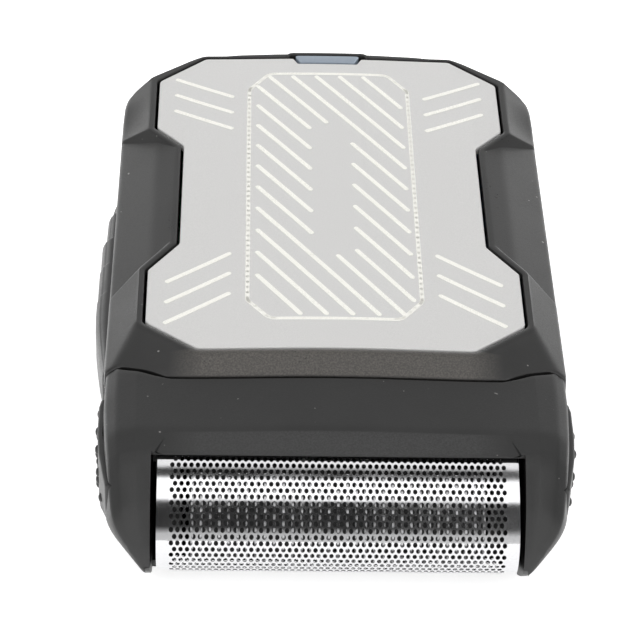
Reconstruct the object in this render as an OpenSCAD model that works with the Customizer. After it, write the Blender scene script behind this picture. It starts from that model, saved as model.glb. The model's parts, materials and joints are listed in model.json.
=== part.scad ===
// Pocket foil shaver, lying on its flat back with the front panel up.
// X runs across the width, Y from the foil (-) to the tail (+), Z up through the panel.
// The origin is on the back face, on the centre line. Millimetres throughout.

/* [Body] */
// Widest part of the body
body_w = 60; // [59:0.5:61]
// Height of the front rim over the back face
rim_z = 23.75; // [23.5:0.05:23.8]
// Tail end of the body
tail_y = 51.6; // [51.2:0.1:52.4]
// Wall thickness of the two housings
wall = 1.8; // [1.6:0.1:2.0]
// Height of the parting plane between the housings
split_z = 8; // [7.5:0.5:8.5]

/* [Front panel] */
// Thickness of the panel plate
panel_t = 1.3; // [1.1:0.1:1.4]
// Gap round the panel
panel_gap = 0.25; // [0.2:0.05:0.4]
// Width of the raised bars
bar_w = 0.6; // [0.5:0.05:0.7]
// Distance from one hatch bar to the next, along the length
hatch_pitch = 5.32; // [5:0.01:5.6]

/* [Foil and cutter] */
// Length of the foil across the head
foil_l = 44.8; // [44:0.2:45]
// Thickness of the foil sheet
foil_t = 0.25; // [0.2:0.05:0.3]
// Foremost line of the foil
foil_y = -49.8; // [-50:0.1:-49.6]
// Number of cutter blades
blade_count = 33; // [25:2:33]
// Thickness of one cutter blade
blade_t = 0.3; // [0.2:0.05:0.4]

/* [Motion] */
// Throw of the eccentric pin
throw = 0.8; // [0.6:0.1:0.8]
// Travel of foil and cutter into the head
float_y = 0.6; // [0.4:0.1:0.6]
// Travel of the power slider
slider_travel = 4; // [3:0.5:4]
// Travel of a release button
button_travel = 1.2; // [1:0.1:1.2]

/* [Hidden] */
$fn = 48;

half_w = body_w / 2;
// Plane of the back of the housings' mouth and of the head's rear face
mouth_y = -24.3;
cap_y = -24.5;
// Height of the drive axis, half the thickness
axis_z = 12;
floor_z = wall;
// Underside of the front wall, and the cavity's last wall at the tail
roof_z = 20.7;
cavity_tail_y = 47.8;
// The panel's face is slightly domed: height of its centre line, and radius across the width
panel_top = rim_z + 0.4;
crown_r = 420;
recess_z = rim_z + 0.15 - panel_t;

// ---------- helpers ----------

// A block from its low corner to its high corner
module block(lo, hi) {
    translate(lo) cube(hi - lo);
}

// An outline in X and Z, drawn out along Y from y0 to y1
module along_y(y0, y1) {
    translate([0, y1, 0]) rotate([90, 0, 0]) linear_extrude(y1 - y0) children();
}

// An outline in Y and Z, drawn out along X from x0 to x1
module along_x(x0, x1) {
    translate([x0, 0, 0]) rotate([90, 0, 90]) linear_extrude(x1 - x0) children();
}

// A round bar along Y, and one along X
module rod_y(x, z, y0, y1, r) {
    translate([x, y0, z]) rotate([-90, 0, 0]) cylinder(r = r, h = y1 - y0);
}

module rod_x(y, z, x0, x1, r) {
    translate([x0, y, z]) rotate([0, 90, 0]) cylinder(r = r, h = x1 - x0);
}

module both_sides() {
    children();
    mirror([1, 0, 0]) children();
}

// The whole outline from its right half
function both(half) = concat(half, [for (i = [len(half) - 1:-1:0]) [-half[i][0], half[i][1]]]);

// A slot shape with round ends, centred
module slot_shape(w, h) {
    square([w - h, h], center = true);
    for (s = [-1, 1]) translate([s * (w - h) / 2, 0]) circle(r = h / 2);
}

// A bent wire through a list of points; side is a direction none of its runs follows
wire_sides = 10;
function unit(v) = v / norm(v);
function run_at(p, i) = unit((i > 0 ? unit(p[i] - p[i - 1]) : [0, 0, 0]) +
    (i < len(p) - 1 ? unit(p[i + 1] - p[i]) : [0, 0, 0]));
function wire_point(p, i, k, r, side) =
    let (t = run_at(p, i), u = unit(cross(t, side)), v = cross(t, u), a = 360 * k / wire_sides)
    p[i] + r * (cos(a) * u + sin(a) * v);

module lead(p, r, side) {
    m = wire_sides;
    n = len(p) - 1;
    points = [for (i = [0:n]) for (k = [0:m - 1]) wire_point(p, i, k, r, side)];
    polyhedron(points = points, faces = tube_faces(n, m), convexity = 6);
}

// Faces of a tube of n lengths with m sides, closed at both ends
function tube_faces(n, m) = concat(
    [for (i = [0:n - 1]) for (k = [0:m - 1]) let (j = (k + 1) % m)
        each [[i * m + k, (i + 1) * m + k, (i + 1) * m + j], [i * m + k, (i + 1) * m + j, i * m + j]]],
    [[for (k = [0:m - 1]) k], [for (k = [m - 1:-1:0]) n * m + k]]);

// Points of a coil spring along Z, closed at both ends
spring_sides = 6;
spring_steps = 12;
function ring_point(coil_r, wire_r, h, turns, i, k) =
    let (n = turns * spring_steps,
        a = 360 * i / spring_steps,
        b = -360 * k / spring_sides,
        r = coil_r + wire_r * cos(b))
    [r * cos(a), r * sin(a), wire_r + (h - 2 * wire_r) * i / n + wire_r * sin(b)];

module coil_spring(coil_r, wire_r, h, turns) {
    n = turns * spring_steps;
    m = spring_sides;
    points = [for (i = [0:n]) for (k = [0:m - 1]) ring_point(coil_r, wire_r, h, turns, i, k)];
    polyhedron(points = points, faces = tube_faces(n, m), convexity = 6);
}

// ---------- body shell ----------

// Right half of the plan outline, inset by d
function body_half(d, y0) = [
    [half_w - d, y0], [half_w - d, 31], [half_w - 0.1 - d, 37], [half_w - 0.6 - d, 40.2],
    [half_w - 1.9 - d, 42.2 - 0.3 * d], [half_w - 5.2 - 0.9 * d, 45.2 - 0.5 * d],
    [19.8 - 0.8 * d, 49.3 - 0.8 * d], [10 - 0.3 * d, tail_y - 0.3 - d], [0, tail_y - d]];

// Right half of the cross-section
edge_x = half_w - 0.2;
edge_z = rim_z - 3.25;
shoulder_x = 25.2;
body_section = [[0, 0], [25.5, 0], [27.6, 0.7], [28.9, 2.2], [29.5, 4.2], [half_w, 9],
    [half_w, 14], [edge_x, edge_z], [shoulder_x, rim_z], [0, rim_z]];
cavity_section = [[0, floor_z], [24.8, floor_z], [27, 3.2], [half_w - wall, 6.5],
    [half_w - wall, 16], [27, 18.6], [20.5, roof_z], [0, roof_z]];

// Side view of the body: the rim falls to the seam at the head, the tail is round
body_side = [[-27, 0], [-27, 22.3], [-23.4, rim_z], [50.3, rim_z], [50.9, 23.1],
    [51.4, 19], [tail_y, 13], [51.2, 7], [50, 3], [48.2, 0.8], [46, 0]];

module body_form() {
    intersection() {
        linear_extrude(rim_z) polygon(both(body_half(0, -27)));
        along_y(-27, tail_y) polygon(both(body_section));
        along_x(-half_w, half_w) polygon(body_side);
    }
}

module cavity() {
    intersection() {
        linear_extrude(rim_z) polygon(both(body_half(wall, -28)));
        along_y(-28, cavity_tail_y) polygon(both(cavity_section));
    }
}

// Lip of the front housing that reaches over the neck of the head
lip_x = 22;
lip_y = -26.85;
module lip_outline(grow) {
    polygon(both([[0, lip_y - grow], [lip_x + 0.4 * grow, lip_y - grow],
        [27.4 + grow, mouth_y - 0.2 * grow], [27.4 + grow, mouth_y + 1], [0, mouth_y + 1]]));
}

// Right half of the panel outline
panel_half = [[0, -22.9], [17.9, -22.9], [24.7, -17.3], [24.75, -5.6], [20.7, 0.7],
    [20.7, 25.3], [24.6, 29.9], [24.6, 42.5], [18, 49], [5, 49], [4.35, 47.55], [0, 47.55]];
lens_half = [[0, 47.9], [4, 47.9], [4.85, 49.9], [0, 49.9]];

// Finger scoops at the waist, between the far and near shoulders
scoop_x = 21.2;
scoop_angle = atan((rim_z - edge_z) / (edge_x - scoop_x));
module waist_scoop() {
    translate([scoop_x, 0, rim_z]) rotate([0, scoop_angle, 0]) linear_extrude(5)
        polygon([[0, 25.6], [0, 0.4], [4.2, -6], [11, -8], [11, 32], [4.2, 30.3]]);
}

// Screws that hold the housings together
screw_spots = [[25.4, -18.6], [-25.4, -18.6], [19.6, 41.6], [-19.6, 41.6]];
screw_r = 0.95;
screw_top = 15;
head_r = 1.9;
head_z = [0.7, 2.1];
// Screws that hold the circuit board
board_spots = [[-17, 12], [5, 14], [-13, 42]];
board_z = [15, 16];
board_screw_r = 0.8;

// Pocket and slot of the power slider, on the left side
knob_y = [-19.6, 20];
knob_z = [10, 18];
knob_base_x = -29.2;
tongue_y = [13, 17.2];
tongue_z = [12.6, 15.2];
port_z = board_z[0] - 1.65;
stem_y = 45.5;

module slider_pocket() {
    block([-half_w - 2, knob_y[0] - slider_travel - 0.15, knob_z[0] - 0.3],
        [knob_base_x + 0.2, knob_y[1] + 0.2, knob_z[1] + 0.3]);
    block([-half_w, tongue_y[0] - slider_travel - 0.3, tongue_z[0] - 0.3],
        [-half_w + 3, tongue_y[1] + 0.3, tongue_z[1] + 0.3]);
}

module lens_pocket() {
    translate([0, 0, recess_z - 0.3]) linear_extrude(3)
        polygon(both([[0, 47.5], [4.15, 47.5], [5.05, 50.05], [0, 50.05]]));
    block([-2.7, stem_y - 1.5, 21], [2.7, 48.8, recess_z + 0.1]);
    translate([0, stem_y, 20]) cylinder(r = 1.4, h = 2);
}

module front_housing() {
    color([0.27, 0.27, 0.27]) difference() {
        union() {
            difference() {
                intersection() {
                    body_form();
                    block([-35, mouth_y, split_z], [35, 60, 30]);
                }
                cavity();
            }
            intersection() {
                body_form();
                translate([0, 0, roof_z + 0.15]) linear_extrude(3) lip_outline(0);
            }
            for (p = screw_spots) translate([p[0], p[1], split_z]) cylinder(r = 2.4, h = 12);
            for (p = board_spots) translate([p[0], p[1], board_z[1]]) cylinder(r = 2, h = 5);
        }
        translate([0, 0, recess_z]) linear_extrude(3) offset(delta = panel_gap) polygon(both(panel_half));
        lens_pocket();
        both_sides() waist_scoop();
        slider_pocket();
        along_y(cavity_tail_y - 1, 60) translate([0, port_z]) slot_shape(9.4, 3.8);
        for (p = screw_spots) translate([p[0], p[1], split_z - 1])
            cylinder(r = screw_r, h = screw_top - split_z + 1.2);
        for (p = board_spots) translate([p[0], p[1], board_z[1] - 1]) cylinder(r = board_screw_r, h = 4.6);
        gasket_ring(0.05, 0.4);
    }
}

module rear_housing() {
    color([0.24, 0.24, 0.24]) difference() {
        union() {
            difference() {
                intersection() {
                    body_form();
                    block([-35, mouth_y, -1], [35, 60, split_z]);
                }
                cavity();
            }
            intersection() {
                body_form();
                for (p = screw_spots) translate([p[0], p[1], 0]) cylinder(r = 3, h = split_z);
            }
        }
        for (p = screw_spots) {
            translate([p[0], p[1], -1]) cylinder(r = 1.15, h = split_z + 2);
            translate([p[0], p[1], -1]) cylinder(r = 2.1, h = head_z[1] + 1);
        }
        gasket_ring(0.05, 0.6);
    }
}

// Seal in the parting plane, open at the mouth: grow widens it, half_h is half its height
module gasket_ring(grow, half_h) {
    translate([0, 0, split_z - half_h]) linear_extrude(2 * half_h) difference() {
        polygon(both(body_half(0.6 - grow, mouth_y + 0.5 - grow)));
        polygon(both(body_half(1.2 + grow, mouth_y - 1)));
    }
}

// ---------- front panel and indicator ----------

hatch_slope = -1.55;
hatch_first = -5;
hatch_last = 9;
hatch_mid_y = 3.9;
frame_x = 11.5;
frame_bottom = -16.6;
frame_top = 44.6;
bar_h = 0.1;

// Everything under the domed face, moved up by d
module under_crown(d) {
    translate([0, 0, panel_top - crown_r]) rotate([90, 0, 0])
        cylinder(r = crown_r + d, h = 120, center = true, $fn = 720);
}

// Outline of a bar from point a to point b, with square ends
module bar(a, b, w) {
    d = b - a;
    translate([a[0], a[1]]) rotate([0, 0, atan2(d[1], d[0])]) translate([0, -w / 2]) square([norm(d), w]);
}

// Where hatch line k is at x, and the x at which it passes y
function hatch_y(k, x) = hatch_mid_y + hatch_pitch * k + hatch_slope * x;
function hatch_x(k, y) = (y - hatch_mid_y - hatch_pitch * k) / hatch_slope;

// One hatch line between two x limits, cut to the frame
module hatch_bar(k, x0, x1) {
    from = max(x0, hatch_x(k, 43.7));
    to = min(x1, hatch_x(k, -15.6));
    if (to - from > 1) bar([from, hatch_y(k, from)], [to, hatch_y(k, to)], bar_w);
}

// The hatch leaves a plain field in the middle
field_x = [-2.9, 3.2];
field_y = [-2.4, 31.2];
module hatch() {
    for (k = [hatch_first:hatch_last]) {
        enter = max(field_x[0], hatch_x(k, field_y[1]));
        leave = min(field_x[1], hatch_x(k, field_y[0]));
        if (leave <= enter) {
            hatch_bar(k, -10.2, 10.4);
        } else {
            hatch_bar(k, -10.2, enter);
            hatch_bar(k, leave, 10.4);
        }
    }
}

module corner_bars() {
    for (k = [0:2]) {
        bar([14, 38.3 - 4.3 * k], [22, 42.9 - 4.3 * k], bar_w);
        bar([14, -1.8 - 4.6 * k], [22.1, -8.3 - 4.6 * k], bar_w);
    }
}

module frame_line() {
    corners = both([[8.6, frame_bottom], [frame_x, -12.5], [frame_x, 40.2], [8.6, frame_top]]);
    for (i = [0:len(corners) - 1]) bar(corners[i], corners[(i + 1) % len(corners)], 0.35);
}

module front_panel() {
    color([0.81, 0.81, 0.8]) union() {
        intersection() {
            translate([0, 0, recess_z]) linear_extrude(3) polygon(both(panel_half));
            under_crown(0);
        }
        intersection() {
            translate([0, 0, rim_z - 0.7]) linear_extrude(3) {
                hatch();
                both_sides() corner_bars();
                frame_line();
            }
            under_crown(bar_h);
        }
    }
}

module indicator_lens() {
    color([0.53, 0.6, 0.66, 0.8]) union() {
        translate([0, 0, recess_z - 0.2]) linear_extrude(rim_z - recess_z + 0.2) polygon(both(lens_half));
        block([-2.5, stem_y - 1.3, 21.2], [2.5, 48.6, 22.45]);
        translate([0, stem_y, 17.6]) cylinder(r = 1.2, h = 4);
    }
}

module indicator_led() {
    color([0.9, 0.9, 0.85]) block([-1.6, stem_y - 0.8, board_z[1]], [1.6, stem_y + 0.8, board_z[1] + 1.1]);
}

// ---------- electrics ----------

module circuit_board() {
    color([0.08, 0.3, 0.18]) difference() {
        translate([0, 0, board_z[0]]) linear_extrude(board_z[1] - board_z[0])
            polygon([[-26.4, 9], [9.5, 9], [9.5, 46.6], [-16.4, 46.6], [-16.4, 38.6], [-26.4, 38.6]]);
        for (p = board_spots) translate([p[0], p[1], 10]) cylinder(r = board_screw_r, h = 10);
    }
}

module board_components() {
    under = board_z[0];
    color([0.1, 0.1, 0.1]) {
        block([-9, 20, under - 1.4], [-2, 27, under]);
        block([2, 24, under - 2.2], [6, 28, under]);
        for (i = [0:3]) block([-13 - 2.4 * i, 22, under - 0.8], [-11.8 - 2.4 * i, 24, under]);
        for (i = [0:2]) block([-3, 31 + 2.4 * i, under - 0.8], [-1, 32.2 + 2.4 * i, under]);
        for (s = [-1, 1]) rod_y(-18, 12.4, 30 + s * 3.4 - 2.6, 30 + s * 3.4 + 2.6, 2.5);
    }
}

module board_screws() {
    color([0.62, 0.62, 0.65]) for (p = board_spots) translate([p[0], p[1], 0]) {
        translate([0, 0, board_z[0] - 1]) cylinder(r = 1.6, h = 1);
        translate([0, 0, board_z[0] - 0.2]) cylinder(r = board_screw_r, h = 4.6);
    }
}

module charging_port() {
    color([0.75, 0.75, 0.77]) difference() {
        along_y(43.6, 51) translate([0, port_z]) slot_shape(8.9, 3.3);
        along_y(44.6, 52) translate([0, port_z]) slot_shape(8.3, 2.7);
    }
}

module port_tongue() {
    color([0.12, 0.12, 0.12]) block([-3.1, 44.6, port_z - 0.35], [3.1, 50, port_z + 0.35]);
}

lever_x = [-28.4, -24.6];
lever_y = [14.3, 15.9];
lever_z = [13.2, 14.4];
module switch_body() {
    color([0.15, 0.15, 0.16]) difference() {
        block([-26.3, 7, 11], [-21.4, 19, board_z[0]]);
        block([-27, lever_y[0] - slider_travel - 0.3, lever_z[0] - 0.2],
            [lever_x[1] + 0.4, lever_y[1] + 0.3, lever_z[1] + 0.2]);
    }
}

module switch_lever() {
    color([0.85, 0.85, 0.83])
        block([lever_x[0], lever_y[0], lever_z[0]], [lever_x[1], lever_y[1], lever_z[1]]);
}

// Stepped thumb slider: four treads rise towards the head, then it runs out in a long curve
function rise(p) = -half_w - p;
knob_outline = [[knob_base_x, knob_y[1]], [rise(0.1), knob_y[1]], [rise(0.6), 18], [rise(0.7), 16.6],
    [rise(1.15), 16.3], [rise(1.2), 10.4], [rise(1.7), 10.1], [rise(1.67), 4.4], [rise(1.8), 4.1],
    [rise(1.75), -2.4], [rise(1.85), -2.7], [rise(1.85), -5.5], [rise(1.7), -9], [rise(1.35), -12.5],
    [rise(0.9), -16], [rise(0.3), -19.4], [knob_base_x, knob_y[0]]];
module power_slider() {
    color([0.2, 0.2, 0.2]) difference() {
        union() {
            translate([0, 0, knob_z[0]]) linear_extrude(knob_z[1] - knob_z[0]) polygon(knob_outline);
            block([knob_base_x - 0.5, tongue_y[0], tongue_z[0]], [-27.5, tongue_y[1], tongue_z[1]]);
        }
        block([lever_x[0], lever_y[0], 10], [-27, lever_y[1], 20]);
    }
}

cell_x = 18.4;
cell_r = 7;
cell_y = [-15.5, 34.5];
module battery_cell() {
    color([0.2, 0.45, 0.7]) union() {
        rod_y(cell_x, axis_z, cell_y[0], cell_y[1] - 1, cell_r);
        rod_y(cell_x, axis_z, cell_y[1] - 1, cell_y[1], 2.8);
    }
}

module battery_tabs() {
    color([0.78, 0.76, 0.7]) {
        block([cell_x - 3, cell_y[0] - 0.4, 6.5], [cell_x + 3, cell_y[0], 18]);
        block([cell_x - 3, cell_y[1], 6.5], [cell_x + 3, cell_y[1] + 0.4, 18]);
    }
}

lead_r = 0.5;
module power_leads() {
    color([0.7, 0.1, 0.1])
        lead([[cell_x - 2, cell_y[1] + 1, 17], [cell_x - 3.6, cell_y[1] + 1.2, 17.4], [13, 38, 17.6],
            [8.6, 38, 17.4], [8.6, 38, board_z[1]]], lead_r, [0, 0.3, 1]);
    color([0.1, 0.1, 0.1])
        lead([[cell_x - 2.4, cell_y[0] - 1, 17.4], [12.6, cell_y[0] - 1, 18.5], [12.4, -14, 18.9],
            [12.4, 6, 18.9], [8.4, 11, 17.6], [8.4, 11, board_z[1]]], lead_r, [1, 0, 1]);
}

// ---------- chassis, motor and drive ----------

plate_y = [-24.2, -22.2];
motor_y = [-20, 5];
motor_r = 10;
motor_flat = 7.5;
cradle_x = [10.1, 11.2];
cradle_z = 13;
neck_screw_x = 17.5;

module inner_chassis() {
    color([0.55, 0.55, 0.53]) difference() {
        union() {
            block([-20.5, plate_y[1], 2], [21.5, -15.2, 3.4]);
            block([-20.5, -15.2, 2], [23.5, 37, 3.4]);
            both_sides() block([cradle_x[0], -17, 3], [cradle_x[1], 2, cradle_z]);
            block([-6, -18, 3], [6, 3, axis_z - motor_flat]);
            both_sides() block([neck_screw_x - 2.5, plate_y[1], 3], [neck_screw_x + 2.5, -17, 15]);
            for (y = [-10, 8, 26]) block([cell_x - 5, y, 3], [cell_x + 5, y + 3, 7]);
            block([cell_x - 5, cell_y[1] + 0.4, 3], [cell_x + 5, 36.4, 11]);
        }
        rod_y(cell_x, axis_z, cell_y[0] - 1, cell_y[1], cell_r + 0.02);
        both_sides() rod_y(neck_screw_x, axis_z, -25, -18, 0.9);
    }
}

module motor_can() {
    color([0.72, 0.72, 0.74]) difference() {
        union() {
            intersection() {
                rod_y(0, axis_z, motor_y[0], motor_y[1], motor_r);
                block([-motor_r, -30, axis_z - motor_flat], [motor_r, 30, axis_z + motor_flat]);
            }
            rod_y(0, axis_z, motor_y[0] - 1.5, motor_y[0] + 0.5, 3);
        }
        rod_y(0, axis_z, motor_y[0] + 1.2, motor_y[1] + 1, 7);
        rod_y(0, axis_z, motor_y[0] - 2, motor_y[0] + 2, shaft_r + 0.05);
    }
}

module motor_end_bell() {
    color([0.15, 0.15, 0.15]) difference() {
        intersection() {
            rod_y(0, axis_z, motor_y[1], motor_y[1] + 2.6, motor_r - 0.3);
            block([-motor_r, 0, axis_z - motor_flat + 0.2], [motor_r, 30, axis_z + motor_flat - 0.2]);
        }
        rod_y(0, axis_z, motor_y[1] - 1, motor_y[1] + 4, shaft_r + 0.05);
    }
}

module motor_armature() {
    color([0.65, 0.35, 0.18]) difference() {
        union() {
            rod_y(0, axis_z, -16, -1, 6.2);
            rod_y(0, axis_z, -1, 3, 2.6);
        }
        rod_y(0, axis_z, -17, 4, shaft_r);
    }
}

shaft_r = 1;
module motor_shaft() {
    color([0.8, 0.8, 0.82]) rod_y(0, axis_z, -25.6, motor_y[1] + 3.4, shaft_r);
}

module motor_clamp() {
    color([0.7, 0.7, 0.72]) difference() {
        block([-cradle_x[1], -12, cradle_z], [cradle_x[1], -4, axis_z + motor_flat + 0.9]);
        block([-cradle_x[0], -13, cradle_z - 1], [cradle_x[0], -3, axis_z + motor_flat]);
    }
}

module motor_leads() {
    for (s = [-1, 1]) color(s < 0 ? [0.1, 0.1, 0.1] : [0.7, 0.1, 0.1])
        lead([[5 * s, motor_y[1] + 2.6, 13.2], [5 * s, 10, 13.2], [5 * s, 10.8, 13.6], [5 * s, 11, 14.3],
            [5 * s, 11, board_z[0]]], lead_r, [1, 0, 0]);
}

pin_r = 0.75;
pin_y = [-29.4, -26.2];
module eccentric_cam() {
    color([0.85, 0.82, 0.7]) union() {
        difference() {
            rod_y(0, axis_z, pin_y[1], -22.4, 2.8);
            rod_y(0, axis_z, -25.6, -22, shaft_r);
        }
        rod_y(throw, axis_z, pin_y[0], pin_y[1] + 0.3, pin_r);
    }
}

// ---------- neck: fixed plate with the collar that carries the head ----------

collar_x = 23;
collar_z = [3.6, 20.4];
collar_y = -31;
collar_t = 1.5;
ear_x = [9, 11];
ear_y = -30.1;
rod_place_y = -28.4;
rod_dz = 4.2;
barb_y = [-29.6, -27.6];
arm_z = [14, 17];

module neck_plate() {
    color([0.3, 0.3, 0.31]) difference() {
        union() {
            intersection() {
                block([-27.9, plate_y[0], 2.1], [27.9, plate_y[1], roof_z - 0.1]);
                along_y(-30, 0) polygon(both([[0, 2.1], [24.5, 2.1], [26.8, 3.5], [27.9, 6.7],
                    [27.9, 15.8], [26.8, 18.4], [20.4, roof_z - 0.1], [0, roof_z - 0.1]]));
            }
            difference() {
                block([-collar_x, collar_y, collar_z[0]], [collar_x, plate_y[0] + 0.5, collar_z[1]]);
                block([-collar_x + collar_t, collar_y - 1, collar_z[0] + collar_t],
                    [collar_x - collar_t, plate_y[0], collar_z[1] - collar_t]);
            }
            both_sides() block([ear_x[0], ear_y, 5.8], [ear_x[1], plate_y[0] + 0.5, 18.2]);
        }
        rod_y(0, axis_z, -30, -20, 3.3);
        for (s = [-1, 1]) rod_x(rod_place_y, axis_z + s * rod_dz, -12, 12, guide_r);
        both_sides() rod_y(neck_screw_x, axis_z, -30, -20, 0.9);
        both_sides() block([collar_x - collar_t - 0.5, collar_y - 1, arm_z[0] - 0.3],
            [collar_x + 1, barb_y[1] + 0.5, arm_z[1] + 0.3]);
        for (p = [screw_spots[0], screw_spots[1]]) translate([p[0], p[1], 0]) cylinder(r = 3.2, h = 30);
    }
}

module neck_screws() {
    color([0.62, 0.62, 0.65]) both_sides() {
        rod_y(neck_screw_x, axis_z, plate_y[0] - 1.1, plate_y[0], 1.7);
        rod_y(neck_screw_x, axis_z, plate_y[0] - 0.5, -18.4, 0.9);
    }
}

guide_r = 0.8;
module guide_rods() {
    color([0.8, 0.8, 0.82]) for (s = [-1, 1])
        rod_x(rod_place_y, axis_z + s * rod_dz, -ear_x[1], ear_x[1], guide_r);
}

bridge_x = 6;
bridge_y = [-29.8, -27];
flange_y = [-32.2, -31.2];
post_r = 2.5;
post_y = -40.4;
module oscillating_bridge() {
    slot_half = throw + pin_r + throw + 0.1;
    color([0.88, 0.88, 0.86]) difference() {
        union() {
            block([-bridge_x, bridge_y[0], 6], [bridge_x, bridge_y[1], 18]);
            block([-3.6, flange_y[1], 8.4], [3.6, bridge_y[0] + 0.1, 15.6]);
            rod_y(0, axis_z, flange_y[0], flange_y[1] + 0.1, 4.4);
            rod_y(0, axis_z, post_y, flange_y[0] + 0.1, post_r);
        }
        block([-slot_half, pin_y[0] - 0.3, axis_z - throw - pin_r - 0.4],
            [slot_half, bridge_y[1] + 1, axis_z + throw + pin_r + 0.4]);
        for (s = [-1, 1]) rod_x(rod_place_y, axis_z + s * rod_dz, -12, 12, guide_r + 0.05);
    }
}

// Rubber membrane on the ears, with room for the moving stem
module stem_seal() {
    color([0.1, 0.1, 0.1]) difference() {
        block([-ear_x[1], ear_y - 0.7, 5.8], [ear_x[1], ear_y, 18.2]);
        block([-3.6 - throw - 0.2, ear_y - 2, 8.1], [3.6 + throw + 0.2, ear_y + 1, 15.9]);
    }
}

module cutter_spring() {
    color([0.75, 0.75, 0.78]) translate([0, flange_y[0], axis_z]) rotate([90, 0, 0])
        coil_spring(3.3, 0.35, flange_y[0] - carrier_y[1], 5);
}

// ---------- foil, cutter and their frame ----------

// Foil section: a nose arc, a flatter flank, and a short arc back to level
nose_r = 5.6;
nose_angle = 55;
flank_r = 30.3;
flank_angle = 70;
root_r = 1.5;
function arc_out(a) = a <= nose_angle ? nose_r * (1 - cos(a)) :
    arc_out(nose_angle) + (a <= flank_angle ? flank_r * (cos(nose_angle) - cos(a)) :
        flank_r * (cos(nose_angle) - cos(flank_angle)) + root_r * (cos(flank_angle) - cos(a)));
function arc_up(a) = a <= nose_angle ? nose_r * sin(a) :
    arc_up(nose_angle) + (a <= flank_angle ? flank_r * (sin(a) - sin(nose_angle)) :
        flank_r * (sin(flank_angle) - sin(nose_angle)) + root_r * (sin(a) - sin(flank_angle)));
// Point of the section at angle a from the nose, moved in by d
function foil_point(a, d) = [foil_y + arc_out(abs(a)) + d * cos(a),
    axis_z + sign(a) * arc_up(abs(a)) - d * sin(a)];
foil_angles = [0, 9, 18, 27, 36, 45, 55, 59, 63, 66, 68, 70, 76, 83, 90];
function section_run(d, last) = concat(
    [for (i = [last:-1:1]) foil_point(-foil_angles[i], d)],
    [for (i = [0:last]) foil_point(foil_angles[i], d)]);
function reversed(v) = [for (i = [len(v) - 1:-1:0]) v[i]];
foil_last = len(foil_angles) - 1;
foil_root_y = -37.6;

module foil() {
    outer = section_run(0, foil_last);
    inner = section_run(foil_t, foil_last);
    top = outer[len(outer) - 1][1];
    low = outer[0][1];
    color([0.85, 0.86, 0.88]) along_x(-foil_l / 2, foil_l / 2)
        polygon(concat(outer, [[foil_root_y, top], [foil_root_y, top - foil_t]],
            reversed(inner), [[foil_root_y, low + foil_t], [foil_root_y, low]]));
}

frame_y = [-39.8, -37];
frame_hz = 8.05;
seat_z = [7, 12];
seat_x = 19.6;
// The frame's opening lets the cutter through when the head comes off
module foil_frame() {
    color([0.16, 0.16, 0.16]) difference() {
        block([-foil_l / 2, frame_y[0], axis_z - frame_hz], [foil_l / 2, frame_y[1], axis_z + frame_hz]);
        block([-seat_x, frame_y[0] - 1, axis_z - 7.4], [seat_x, frame_y[1] + 1, axis_z + 7.4]);
    }
}

module foil_end_plates() {
    color([0.16, 0.16, 0.16]) both_sides() along_x(foil_l / 2 - 0.8, foil_l / 2 - 0.05) intersection() {
        polygon(section_run(foil_t + 0.03, foil_last));
        translate([-60, 0]) square([60 + frame_y[0], 40]);
    }
}

carrier_y = [-42.4, -39];
carrier_x = 18.5;
module cutter_carrier() {
    color([0.2, 0.2, 0.21]) difference() {
        union() {
            block([-carrier_x, carrier_y[0], axis_z - 6.8], [carrier_x, -40.6, axis_z + 6.8]);
            block([-carrier_x, -41, axis_z - 5.6], [carrier_x, carrier_y[1], axis_z + 5.6]);
        }
        rod_y(0, axis_z, post_y - 2 * float_y, carrier_y[1] + 1, post_r + 0.05);
    }
}

// Thin arched blades in a row, standing on the carrier
blade_angles_last = 9;
module cutter_blades() {
    pitch = 2 * (carrier_x - 0.5) / (blade_count - 1);
    rim = foil_t + 0.12;
    color([0.8, 0.8, 0.82]) for (i = [0:blade_count - 1]) {
        x = -carrier_x + 0.5 + i * pitch;
        along_x(x - blade_t / 2, x + blade_t / 2) intersection() {
            polygon(concat(section_run(rim, blade_angles_last),
                reversed(section_run(1.7, blade_angles_last))));
            translate([-60, 0]) square([60 + carrier_y[0], 40]);
        }
    }
}

foil_spring_x = 20.9;
foil_spring_y = [-37, -34];
module foil_springs() {
    color([0.75, 0.75, 0.78]) both_sides() translate([foil_spring_x, foil_spring_y[1], 9.5])
        rotate([90, 0, 0]) coil_spring(0.95, 0.15, foil_spring_y[1] - foil_spring_y[0], 5);
}

// ---------- head cap and its release buttons ----------

bay_x = 23.2;
bay_z = [3.4, 20.6];
cap_half = [[0, cap_y], [half_w, cap_y], [half_w, -31], [29.6, -36], [29.1, -40], [28.8, -43.5],
    [28.5, -46], [27.6, -47.4], [25.8, -48.6], [24.2, -49], [0, -49]];
cap_section = [[0, 0.3], [25, 0.3], [27.3, 1.2], [28.7, 3], [29.5, 5.5], [half_w, 9],
    [half_w, 14], [29.75, 19.2], [29.3, 20.6], [28.2, 21.5], [25.6, 22.1], [0, 22.25]];
cap_side = [[cap_y, 0.3], [cap_y, 22.25], [-37.2, 21.9], [-40.9, 21.2], [-42.5, 20.4], [-46.3, 16.9],
    [-48.5, 12.5], [-49, 9.2], [-48.4, 7.9], [-47.2, 7], [-46, 5.7], [-42.4, 2.9], [-38.5, 1.5], [-34, 0.6]];
// Plane that cuts each cheek's lower corner away, towards the front and the back face
bevel_at = [28.57, -41.66, 9];
bevel_tilt = [0, 27.7, -29.7];
lip_end_y = -40.9;

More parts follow.
